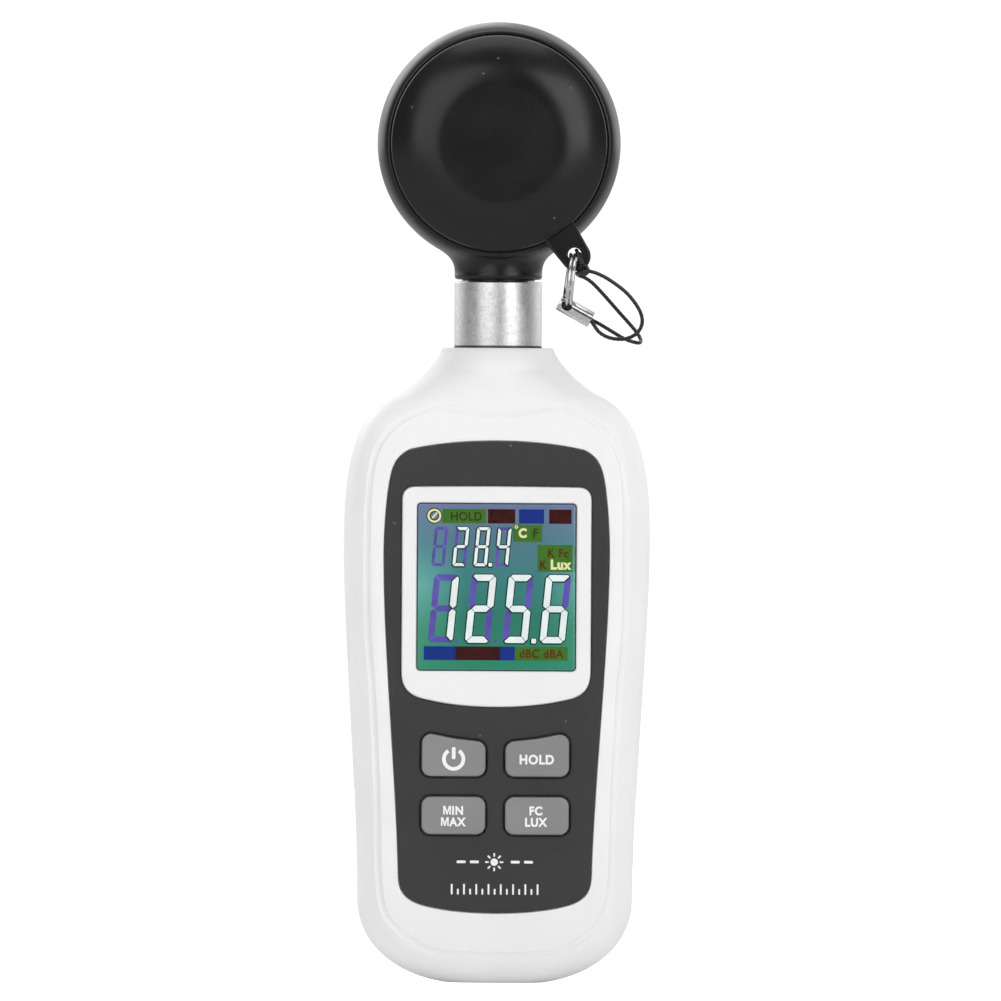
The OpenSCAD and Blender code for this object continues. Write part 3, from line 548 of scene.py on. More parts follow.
def lcd_background():
    """Backlit glass: bluish at the top, teal below, brighter towards the light at both sides."""
    finish = Finish("lcd_background", grey(0.02), 0.35, specular=0)
    x, _, z = finish.add("SeparateXYZ", {0: finish.place}).outputs
    up = finish.spread(z, WINDOW_LOW * MM, WINDOW_HIGH * MM)
    middle = finish.ramp(up, [(0, linear(46, 138, 108)), (0.3, linear(46, 124, 106)),
                              (0.55, linear(62, 130, 128)), (0.8, linear(86, 122, 140)),
                              (1, linear(110, 122, 158))])
    sides = finish.ramp(up, [(0, linear(66, 150, 122)), (0.25, linear(84, 168, 134)),
                             (0.5, linear(128, 206, 196)), (0.75, linear(96, 150, 156)),
                             (1, linear(122, 132, 172))])
    left = finish.spread(x, -WINDOW_HALF * MM, (8 - WINDOW_HALF) * MM, 0.6, 0)
    right = finish.spread(x, (WINDOW_HALF - 6) * MM, WINDOW_HALF * MM, 0, 0.45)
    glow = finish.blend(right, finish.blend(left, middle, sides), sides)
    finish.shader({"Emission Color": glow, "Emission Strength": 1})
    finish.bump(finish.noise(1500, 2), 0.002)
    return finish.material


def clear_window():
    """Hard-coated clear acrylic."""
    finish = Finish("clear_window", tone((0.97, 0.99, 0.99)), 0.03, specular=0.15)
    finish.shader({"Transmission Weight": 1, "IOR": 1.46,
                   "Roughness": finish.cloud(finish.noise(900), 0, 0.012)})
    return finish.material


def cell_wrap():
    """Printed film in two blues, in even bands along the cells."""
    first, second, period = tone((0.03, 0.09, 0.22)), tone((0.035, 0.11, 0.26)), 1.4
    finish = Finish("cell_wrap", first, 0.3)
    bands = {"Vector": finish.place, "Scale": 1 / (period * MM) / 3.2, "Distortion": 1.5}
    waves = finish.add("TexWave", bands, bands_direction="Z", wave_profile="SIN").outputs["Fac"]
    finish.shader({"Base Color": finish.blend(waves, first, second)})
    finish.bump(waves, 0.02)
    return finish.material


def circuit_board():
    """Green solder mask with paler copper tracks under it."""
    finish = Finish("circuit_board", tone((0.01, 0.12, 0.04)), 0.35)
    turned = {"Vector": finish.place, "Rotation": (math.radians(90), 0, 0)}
    place = finish.add("Mapping", turned).outputs[0]
    tracks = finish.add("TexBrick", {
        "Vector": place, "Scale": 260, "Mortar Size": 0.03, "Color1": tone((0.008, 0.11, 0.035)),
        "Color2": tone((0.012, 0.14, 0.05)), "Mortar": tone((0.05, 0.3, 0.1))}).outputs
    finish.shader({"Base Color": tracks["Color"],
                   "Roughness": finish.cloud(finish.noise(700), 0.28, 0.45)})
    finish.bump(tracks["Fac"], 0.02)
    return finish.material


WHITE = moulded("white_plastic", (0.83, 0.83, 0.825), 0.80, (0.36, 0.46), 0.004)
BEZEL_WHITE = moulded("bezel_plastic", 0.82, (0.79, 0.79, 0.795), (0.28, 0.36), 0.003)
CHARCOAL = moulded("charcoal_plastic", (0.0375, 0.0375, 0.038), (0.032, 0.032, 0.0325), (0.42, 0.54),
                   specular=0.3, dust=0.11)
KEY_GREY = moulded("key_rubber", (0.245, 0.245, 0.25), (0.215, 0.215, 0.22), (0.45, 0.6), 0.005,
                   specular=0.35)
HEAD_BLACK = moulded("head_plastic", 0.004, (0.003, 0.003, 0.0032), (0.26, 0.33), 0.004, specular=0.4,
                     dust=0.05)
CAP_BLACK = moulded("cap_plastic", 0.0035, (0.0028, 0.0028, 0.003), (0.24, 0.3), 0.005, specular=0.4,
                    dust=0.08)
INNER_BLACK = moulded("inner_plastic", (0.02, 0.02, 0.022), (0.014, 0.014, 0.015), (0.5, 0.62))
COMPONENT = moulded("component_plastic", (0.018, 0.018, 0.02), 0.03, (0.4, 0.55), 0.01)
BACKLIGHT = moulded("light_guide", (0.8, 0.82, 0.85), (0.7, 0.73, 0.78), (0.3, 0.4))
BUSH = moulded("bush_plastic", (0.72, 0.70, 0.64), (0.62, 0.60, 0.54), (0.35, 0.5))
OPAL = moulded("opal_plastic", (0.82, 0.82, 0.80), (0.78, 0.78, 0.76), (0.25, 0.35), 0.002)
LEAD_RED = moulded("lead_insulation", (0.55, 0.02, 0.02), (0.45, 0.015, 0.015), (0.35, 0.45))
FILTER = moulded("green_filter", (0.06, 0.32, 0.2), (0.05, 0.26, 0.17), (0.08, 0.15), 0.001)
DIE = moulded("sensor_die", (0.02, 0.02, 0.06), (0.03, 0.03, 0.1), (0.1, 0.2), 0.001)
CORD_BLACK = moulded("cord_nylon", 0.002, 0.004, (0.22, 0.32), grain=6000)
LEGEND_WHITE = moulded("legend_ink", 0.86, 0.80, (0.5, 0.6), 0.003)
LEGEND_GREY = moulded("mark_ink", (0.16, 0.16, 0.17), (0.13, 0.13, 0.14), (0.5, 0.6), 0.003)
MASK = moulded("window_mask_ink", (0.03, 0.045, 0.06), (0.02, 0.03, 0.045), (0.4, 0.5), 0.002)
SLEEVE = metal("blasted_aluminium", (0.80, 0.80, 0.795), 0.58, (0.33, 0.45), 3400, 0.012)
STEEL = metal("bright_steel", (0.72, 0.72, 0.71), 0.55, (0.14, 0.24), 1800, 0.003)
SPRING = metal("spring_steel", 0.6, 0.45, (0.2, 0.35), 2400, 0.003)
BRASS = metal("contact_brass", (0.80, 0.64, 0.33), (0.66, 0.5, 0.24), (0.2, 0.35), 2600, 0.004)
LABEL = metal("label_foil", (0.60, 0.61, 0.62), (0.5, 0.51, 0.52), (0.38, 0.5), 2400, 0.003, (1, 1, 12))
CELL = cell_wrap()
BOARD = circuit_board()
CLEAR = clear_window()
LCD = lcd_background()
LIT = glowing("lcd_lit", linear(244, 254, 252))
UNLIT = glowing("lcd_unlit", linear(108, 92, 192), 0.95, spread=0.35)
# Dark edge round the dial mark, and painted shadow round the lit segments.
DARK_EDGE_AND_SHADOW = glowing("lcd_edge_and_painted_shadow", linear(10, 34, 38))
GREEN = glowing("lcd_green", linear(66, 118, 32))
RED = glowing("lcd_red", linear(62, 10, 10), spread=0.3)
BLUE = glowing("lcd_blue", linear(16, 48, 140), spread=0.2)
DARK = glowing("lcd_dark", linear(52, 62, 20), spread=0.3)
BROWN = glowing("lcd_brown", linear(96, 40, 18), spread=0.3)
CREAM = glowing("lcd_cream", linear(250, 246, 184), 0.95)

# ---- tether: cord, split ring, crimp and knot ----

CORD_DIAMETER = 0.65
CRIMP_HOLE = Vector((11.414, -9.325, 112.745))
CRIMP_SLOPE = math.radians(29)
CRIMP_ALONG = Vector((math.cos(CRIMP_SLOPE), 0, -math.sin(CRIMP_SLOPE)))
CRIMP_LONG, CRIMP_BACK, CRIMP_R = 6.1, 1.4, 1.4
CRIMP_BORE, CRIMP_BORE_DEPTH, CRIMP_EYE = 1.0, 2.2, 0.8
STRAND_GAP = 0.45
RING_TOP = Vector((12.387, -9.325, 121.29))
RING_R, RING_WIRE, RING_TURNS, RING_PITCH = 4.3, 0.3, 1.85, 0.65
RING_LEAN, RING_START = math.radians(6.5), math.radians(-63)


def in_crimp(distance, side):
    """A point in the crimp's bore, that far from its bottom, on one of the two strands."""
    bottom = CRIMP_LONG - CRIMP_BACK - CRIMP_BORE_DEPTH
    return CRIMP_HOLE + CRIMP_ALONG * (bottom + distance) + Vector((0, side * STRAND_GAP, 0))


CORD_ROUTE = [in_crimp(0, -1), in_crimp(1.6, -1), (15.75, -9.95, 109.85), (16.9, -10.3, 108.35),
              (18.7, -10.55, 107.45), (21, -10.65, 107.3), (22.95, -10.65, 108.15),
              (23.95, -10.75, 109.9), (23.5, -10.95, 112.1), (21.4, -11.45, 114.9),
              (18.4, -12.15, 117.15), (16.3, -12.6, 118.2), (15, -12.75, 118.5), (13.75, -12.35, 118.4),
              (13.1, -11.2, 118.15), (13.45, -10.1, 117.8), (14.4, -9.45, 117.45), (15.7, -9.05, 116.55),
              (17.5, -8.3, 114.7), (20.1, -7.05, 111.8), (22.1, -6.25, 109.6), (23.25, -6.15, 108.2),
              (23.75, -6.85, 107.15), (23.55, -7.95, 106.7), (22.6, -8.95, 106.8), (21, -9.3, 107.35),
              (19.1, -9.15, 108.45), (17, -8.9, 109.7), in_crimp(1.6, 1), in_crimp(0, 1)]

KNOT_PLACE = Vector((14.25, -11.15, 118.75))
HITCH_ROUTE = [KNOT_PLACE, (13.95, -10.75, 119.7), (13.6, -10.65, 120.6), (13.44, -10.35, 121.22),
               (13.42, -9.75, 121.42), (13.42, -8.95, 121.42), (13.43, -8.25, 121.25),
               (13.4, -8.05, 120.6), (13.3, -8.05, 119.6), (13.35, -8.1, 118.6), (13.65, -8.6, 117.9),
               (14.1, -9.7, 118), (14.25, -10.6, 118.45)]
OVER_ROUTE = [KNOT_PLACE, (13.75, -10.85, 119.8), (13.35, -10.8, 120.9), (13.1, -10.55, 121.7),
              (12.98, -10, 121.98), (12.98, -9.3, 121.98), (13.05, -8.5, 121.9), (13.25, -8.1, 121.3),
              *HITCH_ROUTE[7:]]


def smooth_route(points, steps):
    """A smooth line through points, with that many steps between neighbours."""
    points = [Vector(p) for p in points]
    line = []
    for i in range(len(points) - 1):
        a, b, c = points[max(i - 1, 0)], points[i], points[i + 1]
        d = points[min(i + 2, len(points) - 1)]
        for k in range(steps):
            t = k / steps
            line.append((b * 2 + (c - a) * t + (a * 2 - b * 5 + c * 4 - d) * t * t
                         + (b * 3 - a - c * 3 + d) * t ** 3) / 2)
    return line + [points[-1]]


def twisted(name, line, radius=CORD_DIAMETER / 2, sides=14, closed=False):
    return tube(name, line, radius, sides, closed, lobes=3, depth=0.03, pitch=2.2)


def make_ring():
    """Nearly two turns of wire, leaning a little to the left."""
    tilt = Matrix.Rotation(RING_LEAN, 3, "Y")
    centre = RING_TOP - tilt @ Vector((0, 0, RING_R))
    steps = 150
    line = []
    for i in range(steps + 1):
        t = i / steps
        angle = math.tau * RING_TURNS * t + RING_START
        across = RING_PITCH * RING_TURNS * (t - 0.5)
        line.append(centre + tilt @ Vector((across, RING_R * math.cos(angle), RING_R * math.sin(angle))))
    return piece(tube("split_ring", line, RING_WIRE, 14), STEEL, "cap", ["tether_ring"], 60)


def make_crimp():
    low, high = -CRIMP_BACK, CRIMP_LONG - CRIMP_BACK
    floor = high - CRIMP_BORE_DEPTH
    profile = [(0, low), (CRIMP_R - 0.22, low), (CRIMP_R - 0.06, low + 0.06), (CRIMP_R, low + 0.22),
               (CRIMP_R, high - 0.12), (CRIMP_R - 0.12, high), (CRIMP_BORE + 0.1, high),
               (CRIMP_BORE, high - 0.1), (CRIMP_BORE, floor), (0, floor)]
    crimp = lathe("cord_crimp", profile, 72)
    crimp.data.transform(Matrix.Translation(CRIMP_HOLE * MM)
                         @ Matrix.Rotation(math.radians(90) + CRIMP_SLOPE, 4, "Y"))
    wide = CRIMP_EYE + 0.12
    eye = [(0, -3), (wide, -3), (wide, -CRIMP_R), (CRIMP_EYE, 0.25 - CRIMP_R),
           (CRIMP_EYE, CRIMP_R - 0.25), (wide, CRIMP_R), (wide, 3), (0, 3)]
    cut(crimp, lathe("crimp_hole", eye, 48, "y", CRIMP_HOLE))
    piece(crimp, STEEL, "cap", ["tether_ferrule"], 35)
    fold = tube("cord_fold", [CRIMP_HOLE + CRIMP_ALONG * d for d in (-1.2, -0.4, 0.4, 1.2)], 0.78, 20)
    return crimp, piece(fold, CORD_BLACK, "cap", smooth=60)


def make_knot():
    """Three crossed loops, and the strands of the hitch through the lug's hole."""
    strands = []
    for turn in (0, 1, 2):
        sway = Matrix.Rotation(math.radians(60 * turn), 3, "Y")
        sway = sway @ Matrix.Rotation(math.radians(24 * turn - 24), 3, "X")
        loop = [KNOT_PLACE + sway @ Vector((0.7 * math.cos(a), 0.34 * math.sin(2 * a), 0.6 * math.sin(a)))
                for a in (math.tau * i / 40 for i in range(40))]
        strands.append(twisted("knot_strand", loop, 0.33, 12, True))
    for shift in (0.0, 0.3):
        hitch = [Vector(p) + Vector((shift * (i / 3 if i < 4 else 0), 0, 0))
                 for i, p in enumerate(HITCH_ROUTE)]
        strands.append(twisted("hitch_strand", smooth_route(hitch, 8)))
    strands.append(twisted("hitch_strand", smooth_route(OVER_ROUTE, 8)))
    return piece(join("cord_knot", strands), CORD_BLACK, "cap", ["tether_knot"], 60)


def make_tether():
    line = smooth_route(CORD_ROUTE, 14)
    cord = twisted("tether_cord_twisted", line, sides=16)
    piece(cord, CORD_BLACK, "cap", ["tether_cord"], 60)
    ring = make_ring()
    crimp, fold = make_crimp()
    knot = make_knot()


make_tether()

# ---- handset shells ----

BODY_TOP = 105.7
FRONT_DEPTH, BACK_DEPTH = 12.8, 14.0
WALL = 1.9
POCKET_FLOOR = -12.0
FOOT_HALF = 7.0
SHOULDER = (17.1, 97.7)
NECK_HALF, NECK_EDGE = 9.4, 0.5
OUTLINE_SEGMENTS = [
    [(FOOT_HALF, 0), (13, 0.2), (22.9, 4.2), (22.95, 14)],
    [(22.95, 14), (22.9, 30), (25.35, 57), (25.5, 72)],
    [(25.5, 72), (25.5, 82.3), (25.1, 94.1), SHOULDER],
    [SHOULDER, (14.8, 98.7), (10.3, 102.7), (NECK_HALF, BODY_TOP - NECK_EDGE)]]
CREASE, FRONT_DIP = 0.28, 0.5
RIDGE = [(0, 4.5), (9.5, 5.1), (13.7, 6.9), (18.1, 10.9), (19.55, 17.1), (19.9, 30.4), (20.7, 47.1),
         (21.6, 58), (21.8, 66), (21.65, 80.4), (20.6, 87.6), (18.3, 91.6), (15, 94.2), (10.2, 95.8),
         (7.4, 95.5), (3.5, 94.9), (0, 94.8)]


def side_line(steps):
    """Half outline of the handset from the foot to the neck, with its rounded last edge."""
    line = [cubic(s, i / n) for s, n in zip(OUTLINE_SEGMENTS, steps) for i in range(n)]
    centre = Vector((NECK_HALF - NECK_EDGE, BODY_TOP - NECK_EDGE))
    return line + arc(*centre, NECK_EDGE, 0, math.pi / 2, 4)


def swell(z):
    """Half depth of the rounded section before the flat front or back limits it."""
    foot, full, neck, foot_blend, neck_blend = 8, 15.2, 9.3, 15, 29.7
    if z < foot_blend:
        return mix(foot, full, math.sqrt(max(0, 1 - (1 - z / foot_blend) ** 2)))
    if z > BODY_TOP - neck_blend:
        rise = max(0, math.sin(math.pi / 2 * (BODY_TOP - z) / neck_blend))
        return mix(neck, full, rise ** 0.65)
    return full


def squareness(z):
    """Exponent of the rounded section: squarer at the shoulder, and nearly an ellipse at the neck."""
    low, shoulder, neck = (78, 3.6), (93, 5), (102, 2.1)
    if z < low[0]:
        return low[1]
    (start, first), (stop, last) = (low, shoulder) if z < shoulder[0] else (shoulder, neck)
    return mix(first, last, min(1, (z - start) / (stop - start)))


def shell_depth(x, z, raw, limit, dip):
    """Depth at a point: the rounded form, blended into the flat face. The dip lies under the neck."""
    reach, rise, fall = 5.6, (86, 93), (100, 104)
    sunk = dip * math.exp(-(x / reach) ** 2) * ease(*rise, z) * (1 - ease(*fall, z))
    over = raw - sunk - limit
    return limit + (over - math.sqrt(over * over + CREASE * CREASE)) / 2


def shell_form(name, side, line, depth, shrink=0.0, columns=(44, 16), dip=0.0):
    """Closed solid of one half of the handset. Side is -1 for the front and 1 for the back."""
    stretch = depth / FRONT_DEPTH if not shrink else (depth + WALL) / FRONT_DEPTH
    seam, flat_end = 0.2, math.radians(66)
    spread, close = columns
    angles = [flat_end * (k / spread) ** 1.6 for k in range(1, spread + 1)]
    angles += [mix(flat_end, math.pi / 2, k / close) for k in range(1, close + 1)]
    points = []
    for p in line:
        half, z = p.x, p.y
        reach = (swell(z) - shrink) * stretch
        power = 2 / squareness(z)
        quarter = [(half - seam, 0.0), (half - seam * 0.3, seam * 0.3)] if not shrink else [(half, 0.0)]
        for f in angles:
            x = half * max(0, math.cos(f)) ** power
            raw = reach * math.sin(f) ** power
            quarter.append((x, max(0.001, shell_depth(x, z, raw, depth, dip))))
        row = quarter + [(-x, y) for x, y in reversed(quarter[:-1])]
        points += [(x, side * y, z) for x, y in row]
    wide = len(points) // len(line)
    last = (len(line) - 1) * wide
    faces = [(r * wide + c, r * wide + c + 1, (r + 1) * wide + c + 1, (r + 1) * wide + c)
             for r in range(len(line) - 1) for c in range(wide - 1)]
    right = range(0, last + 1, wide)
    left = range(last + wide - 1, 0, -wide)
    faces += [tuple(range(wide)), tuple(range(last, last + wide)), (*right, *left)]
    return new_object(name, points, faces)


def cavity_line():
    """Half outline of the room inside, which ends flat under the neck."""
    steps = (7, 5, 9, 6)
    line = side_line(steps)[:sum(steps) + 2]
    straight = sum(steps[:3]) - 1
    inner = [Vector((FOOT_HALF, WALL + 0.3))]
    for i in range(1, straight):
        along = (line[i + 1] - line[i - 1]).normalized()
        inner.append(line[i] - Vector((along.y, -along.x)) * WALL)
    top = Vector((13, 97.5))
    return inner + [mix(inner[-1], top, k / 8) for k in range(1, 9)]


def fascia_line(steps):
    segments = [
        [(0, 11.6), (6, 11.6), (11.5, 12.4), (13.6, 13.5)],
        [(13.6, 13.5), (15.3, 14.4), (16.05, 15.5), (16.1, 18)],
        [(16.1, 18), (16.5, 34), (18.8, 56), (18.8, 71.5)],
        [(18.8, 71.5), (18.8, 76), (18.3, 82), (17.7, 84.5)],
        [(17.7, 84.5), (17.2, 86.8), (16.2, 88), (14.4, 88.8)],
        [(14.4, 88.8), (10, 89.8), (5, 90.25), (0, 90.25)]]
    return mirrored(curve(segments, steps))


def bezel_line(steps):
    half, top = 15.8, 82.6
    segments = [
        [(0, 45.9), (4, 45.9), (8, 46.2), (12.5, 47.3)],
        [(12.5, 47.3), (14.6, 48), (half, 49), (half, 52)],
        [(half, 52), (half, 62), (half, 72), (half, top - 2.3)],
        [(half, top - 2.3), (half, top - 0.8), (half - 0.8, top), (half - 2.3, top)],
        [(half - 2.3, top), (9, top + 0.05), (4, top + 0.1), (0, top + 0.1)]]
    return mirrored(curve(segments, steps))


def window_box(margin, radius, steps=4):
    """The display window's outline, grown by margin."""
    half = WINDOW_HALF + margin
    return rounded_box(-half, half, WINDOW_LOW - margin, WINDOW_HIGH + margin, radius, steps)


WINDOW_LINE = window_box(0, 0.7, 6)

KEY_X, KEY_WIDTH = 6.95, 10.6
UPPER_LOW, UPPER_OUTER, UPPER_INNER = 34.4, 41.75, 40.1
LOWER_LOW, LOWER_HIGH = 24.75, 31.0
KEY_CORNER = 1.5


def key_line(side, upper):
    """Outline of one key. Side is -1 for the left; the upper pair slopes down to the middle."""
    near, far = KEY_X - KEY_WIDTH / 2, KEY_X + KEY_WIDTH / 2
    corners, radii = rectangle(near, far, LOWER_LOW, LOWER_HIGH), KEY_CORNER
    if upper:
        sag = (KEY_X, (UPPER_OUTER + UPPER_INNER) / 2 - 0.22)
        corners = [(near, UPPER_LOW), (far, UPPER_LOW), (far, UPPER_OUTER), sag, (near, UPPER_INNER)]
        radii = [KEY_CORNER, KEY_CORNER, KEY_CORNER, 12, KEY_CORNER]
    return [Vector((side * p.x, p.y)) for p in rounded(corners, radii, 8)]


CUT_FRONT, CUT_BACK = -16, -9  # depths between which holes go through the front
# Side and row of each key, and the body it rides on.
KEYS = {"power_key": (-1, True, "power_button"), "hold_key": (1, True, "hold_button"),
        "minmax_key": (-1, False, "minmax_button"), "unit_key": (1, False, "unit_button")}
KEY_GAP = 0.3
SCREWS = [(-17.4, 87.6), (17.4, 87.6), (-15, 13), (15, 13)]
SCREW_SEAT, COUNTERBORE_R, SHANK_R, COLUMN_R = 5.0, 2.3, 1.35, 3.2
DOOR_HALF, DOOR_LOW, DOOR_HIGH, DOOR_THICK, DOOR_GAP = 16.2, 17.95, 67.6, 1.8, 0.3
HINGE_Y, HINGE_Z, HINGE_GROOVE_R, KNUCKLE_R = 13.1, 17.2, 1.45, 0.8
BAY_HALF, BAY_LOW, BAY_HIGH, BAY_WALL = 17.0, 18.6, 67.0, 1.2
LABEL_BOX = (-13, 13, 72, 84)


def neck_bore():
    low, top, bore, mouth = 96.5, 112, 7.35, 7.6
    profile = [(0, low), (bore, low), (bore, 105.3), (mouth, 105.72), (mouth, top), (0, top)]
    return lathe("neck_bore", profile, 96)


def bar_x(name, half, y, z, radius, steps=48):
    """A round bar along X, centred on the middle plane."""
    bar = lathe(name, [(0, -half), (radius, -half), (radius, half), (0, half)], steps)
    place = Matrix.Translation(Vector((0, y, z)) * MM)
    bar.data.transform(place @ Matrix.Rotation(math.pi / 2, 4, "Y"))
    return bar


def ridge_groove(line):
    """A round bar along the fine line that frames the front, sunk a little into the surface."""
    radius, deep = 0.85, 0.3
    (before_x, before_z), (after_x, after_z) = RIDGE[1], RIDGE[-2]
    route = [(-before_x, 0, before_z), *((x, 0, z) for x, z in RIDGE), (-after_x, 0, after_z)]
    loop = smooth_route(route, 10)[10:-10]
    loop += [Vector((-p.x, 0, p.z)) for p in reversed(loop[1:-1])]
    for p in loop:
        after = next(i for i, edge in enumerate(line) if edge.y > p.z)
        low, high = line[after - 1], line[after]
        half = mix(low.x, high.x, (p.z - low.y) / (high.y - low.y))
        power = squareness(p.z)
        raw = swell(p.z) * (1 - (abs(p.x) / half) ** power) ** (1 / power)
        p.y = -shell_depth(p.x, p.z, raw, FRONT_DEPTH, FRONT_DIP) - radius + deep
    return tube("ridge_groove", loop, radius, 20, closed=True)


def key_holes(gap):
    return [inset(key_line(side, upper), -gap) for side, upper, _ in KEYS.values()]


def make_front_shell():
    line = side_line((34, 30, 60, 26))
    shell = shell_form("front_shell", -1, line, FRONT_DEPTH, dip=FRONT_DIP)
    cavity = shell_form("front_cavity", -1, cavity_line(), FRONT_DEPTH - WALL, shrink=WALL,
                        columns=(10, 4))
    cavity.data.transform(Matrix.Translation((0, 0.5 * MM, 0)))
    pocket = plate("pocket", [fascia_line(14)], flared_rings(-FRONT_DEPTH, POCKET_FLOOR, 0.22))
    openings = [WINDOW_LINE, *key_holes(KEY_GAP)]
    holes = [slab("hole", [outline], CUT_FRONT, CUT_BACK) for outline in openings]
    cut(shell, cavity, pocket, *holes, neck_bore(), ridge_groove(line))
    piece(shell, WHITE, "handset", ["front_housing"], 28)


def make_rear_shell():
    shell = shell_form("rear_shell", 1, side_line((34, 30, 44, 26)), BACK_DEPTH)
    cavity = shell_form("rear_cavity", 1, cavity_line(), BACK_DEPTH - WALL, shrink=WALL, columns=(10, 4))
    cavity.data.transform(Matrix.Translation((0, -0.5 * MM, 0)))
    bay_out = BAY_HALF + BAY_WALL
    walls = block("bay_walls", (-bay_out, bay_out), (-2, 20), (BAY_LOW - BAY_WALL, BAY_HIGH + BAY_WALL))
    cut(cavity, walls, *[rod("screw_column", x, z, COLUMN_R, -2, 20) for x, z in SCREWS])
    wide = DOOR_HALF + DOOR_GAP
    room = block("bay_room", (-BAY_HALF, BAY_HALF), (0.6, 12.1), (BAY_LOW, BAY_HIGH))
    doorway = rounded_box(-wide, wide, HINGE_Z, DOOR_HIGH + DOOR_GAP + 0.1, 0.9, 4)
    lip = [(0, BACK_DEPTH - 0.25), (-0.08, BACK_DEPTH - 0.08), (-0.25, BACK_DEPTH)]
    opening = plate("door_opening", [doorway], [(0, 11.5), *lip, (-0.3, 16)])
    groove = bar_x("hinge_groove", wide, HINGE_Y, HINGE_Z, HINGE_GROOVE_R)
    x0, x1, z0, z1 = LABEL_BOX
    edge = rounded_box(x0 - 0.1, x1 + 0.1, z0 - 0.1, z1 + 0.1, 1.1, 6)
    rings = [(0, BACK_DEPTH - 0.3), (0, BACK_DEPTH - 0.1), (-0.12, BACK_DEPTH + 0.02), (-0.12, 16)]
    recess = plate("label_recess", [edge], rings)
    mouth = COUNTERBORE_R + 0.3
    well = [(0, SCREW_SEAT), (COUNTERBORE_R, SCREW_SEAT), (COUNTERBORE_R, BACK_DEPTH - 0.6),
            (mouth, BACK_DEPTH - 0.2), (mouth, 16), (0, 16)]
    bores = [lathe("counterbore", well, 48, "y", (x, 0, z)) for x, z in SCREWS]
    shanks = [rod("shank_hole", x, z, SHANK_R, -1, 8) for x, z in SCREWS]
    cut(shell, cavity, room, opening, groove, recess, *bores, *shanks, neck_bore())
    piece(shell, WHITE, "handset", ["rear_housing"], 28)


def make_fascia():
    openings = [inset(bezel_line(10), -0.06), *key_holes(KEY_GAP)]
    rings = edge_rings(-12.9, POCKET_FLOOR, 0.18)
    panel = plate("fascia", [inset(fascia_line(14), 0.13), *openings], rings)
    piece(panel, CHARCOAL, "handset", ["fascia_panel"], 40)


def make_bezel():
    """The white frame, its window and the dark band printed round the window's edge."""
    bezel = plate("bezel", [inset(bezel_line(10), 0.08), WINDOW_LINE],
                  edge_rings(-13.6, POCKET_FLOOR, 0.42, steps=6))
    seat = slab("lens_seat", [window_box(1.05, 0.85)], -12.82, -11)
    piece(cut(bezel, seat), BEZEL_WHITE, "handset", ["display_bezel"], 40)
    lens = slab("lens", [window_box(0.95, 0.8)], -12.8, -12.02)
    pad_rings = [(0.45, -13.05), (0.32, -13.05), (0, -12.9), (0, -12.5)]
    pad = plate("lens_pad", [inset(WINDOW_LINE, 0.12)], pad_rings)
    piece(fuse(lens, pad), CLEAR, "handset", ["display_window"], 25)
    mask = slab("window_mask", [inset(WINDOW_LINE, 0.02), inset(WINDOW_LINE, 0.24)], -13.06, -12.86)
    piece(mask, MASK, "handset", smooth=30)


make_front_shell()
make_rear_shell()
make_fascia()
make_bezel()

# ---- display ----

GLASS_FRONT = -10.7
INK_BACK = GLASS_FRONT + 0.01
# Fronts of the printed layers, from the glass outwards. EDGE_FRONT is the layer of painted shadow round
# the lit marks.
GREEN_FRONT, BLOCK_FRONT, UNLIT_FRONT, EDGE_FRONT = -10.712, -10.713, -10.715, -10.725
WORD_FRONT, DIAL_EDGE_FRONT, BRIGHT_FRONT, LIT_FRONT = -10.73, -10.735, -10.75, -10.76
CAPITALS = 0.73  # height of the font's capitals as a share of its size


def make_glass():
    """The liquid-crystal glass: a front sheet, and a back sheet that is longer at the bottom."""
    front_rings = edge_rings(GLASS_FRONT, -9.82, 0.06, 0.06, 2)
    front = plate("sheet", [rectangle(-15, 15, 50.0, 82.4)], front_rings)
    back_rings = edge_rings(-9.8, -8.9, 0.06, 0.06, 2)
    back = plate("sheet", [rectangle(-15, 15, 47.6, 82.4)], back_rings)
    piece(join("lcd_sheets", [front, back]), LCD, "handset", ["lcd_glass"], 30)


def segments(width, height, stroke, gap):
    """Outlines of a seven-segment figure from its lower left corner, by their usual letters."""
    w, h, t = width, height, stroke
    cut_off, mid = t * 0.55, h / 2
    shapes = {"a": [(t, h - t), (w - t, h - t), (w - cut_off / 2, h - cut_off / 2), (w - cut_off, h),
                    (cut_off, h), (cut_off / 2, h - cut_off / 2)],
              "b": [(w - t, h - t), (w - t, mid + t / 2), (w - t / 2, mid), (w, mid + t * 0.4),
                    (w, h - cut_off), (w - cut_off / 2, h - cut_off / 2)],
              "g": [(t / 2, mid), (t, mid - t / 2), (w - t, mid - t / 2), (w - t / 2, mid),
                    (w - t, mid + t / 2), (t, mid + t / 2)]}
    shapes["f"] = [(w - x, z) for x, z in shapes["b"]]
    shapes["c"] = [(x, h - z) for x, z in shapes["b"]]
    shapes["e"] = [(w - x, h - z) for x, z in shapes["b"]]
    shapes["d"] = [(x, h - z) for x, z in shapes["a"]]
    return {k: inset(shape, gap) for k, shape in shapes.items()}


FIGURES = {"1": "bc", "2": "abged", "4": "fgbc", "5": "afgcd", "6": "afgedc", "8": "abcdefg"}
LEAN = math.tan(math.radians(5.5))


def figure_row(text, x, z, width, height, stroke, pitch):
    """Lit and unlit segments of a row of figures; a space is a whole unlit figure."""
    lit, unlit = [], []
    shapes = segments(width, height, stroke, 0.045)
    for place, sign in enumerate(text):
        for letter, shape in shapes.items():
            outline = [Vector((x + place * pitch + p.x + p.y * LEAN, z + p.y)) for p in shape]
            (lit if letter in FIGURES.get(sign, "") else unlit).append(outline)
    return lit, unlit


def printed(name, shapes, material, front, back, body="handset", slot="lcd"):
    """Thin flat marks as one piece; each shape is its outline and any holes."""
    marks = [slab("mark", loops, front, back) for loops in shapes]
    return piece(join(name, marks), material, body, smooth=20)


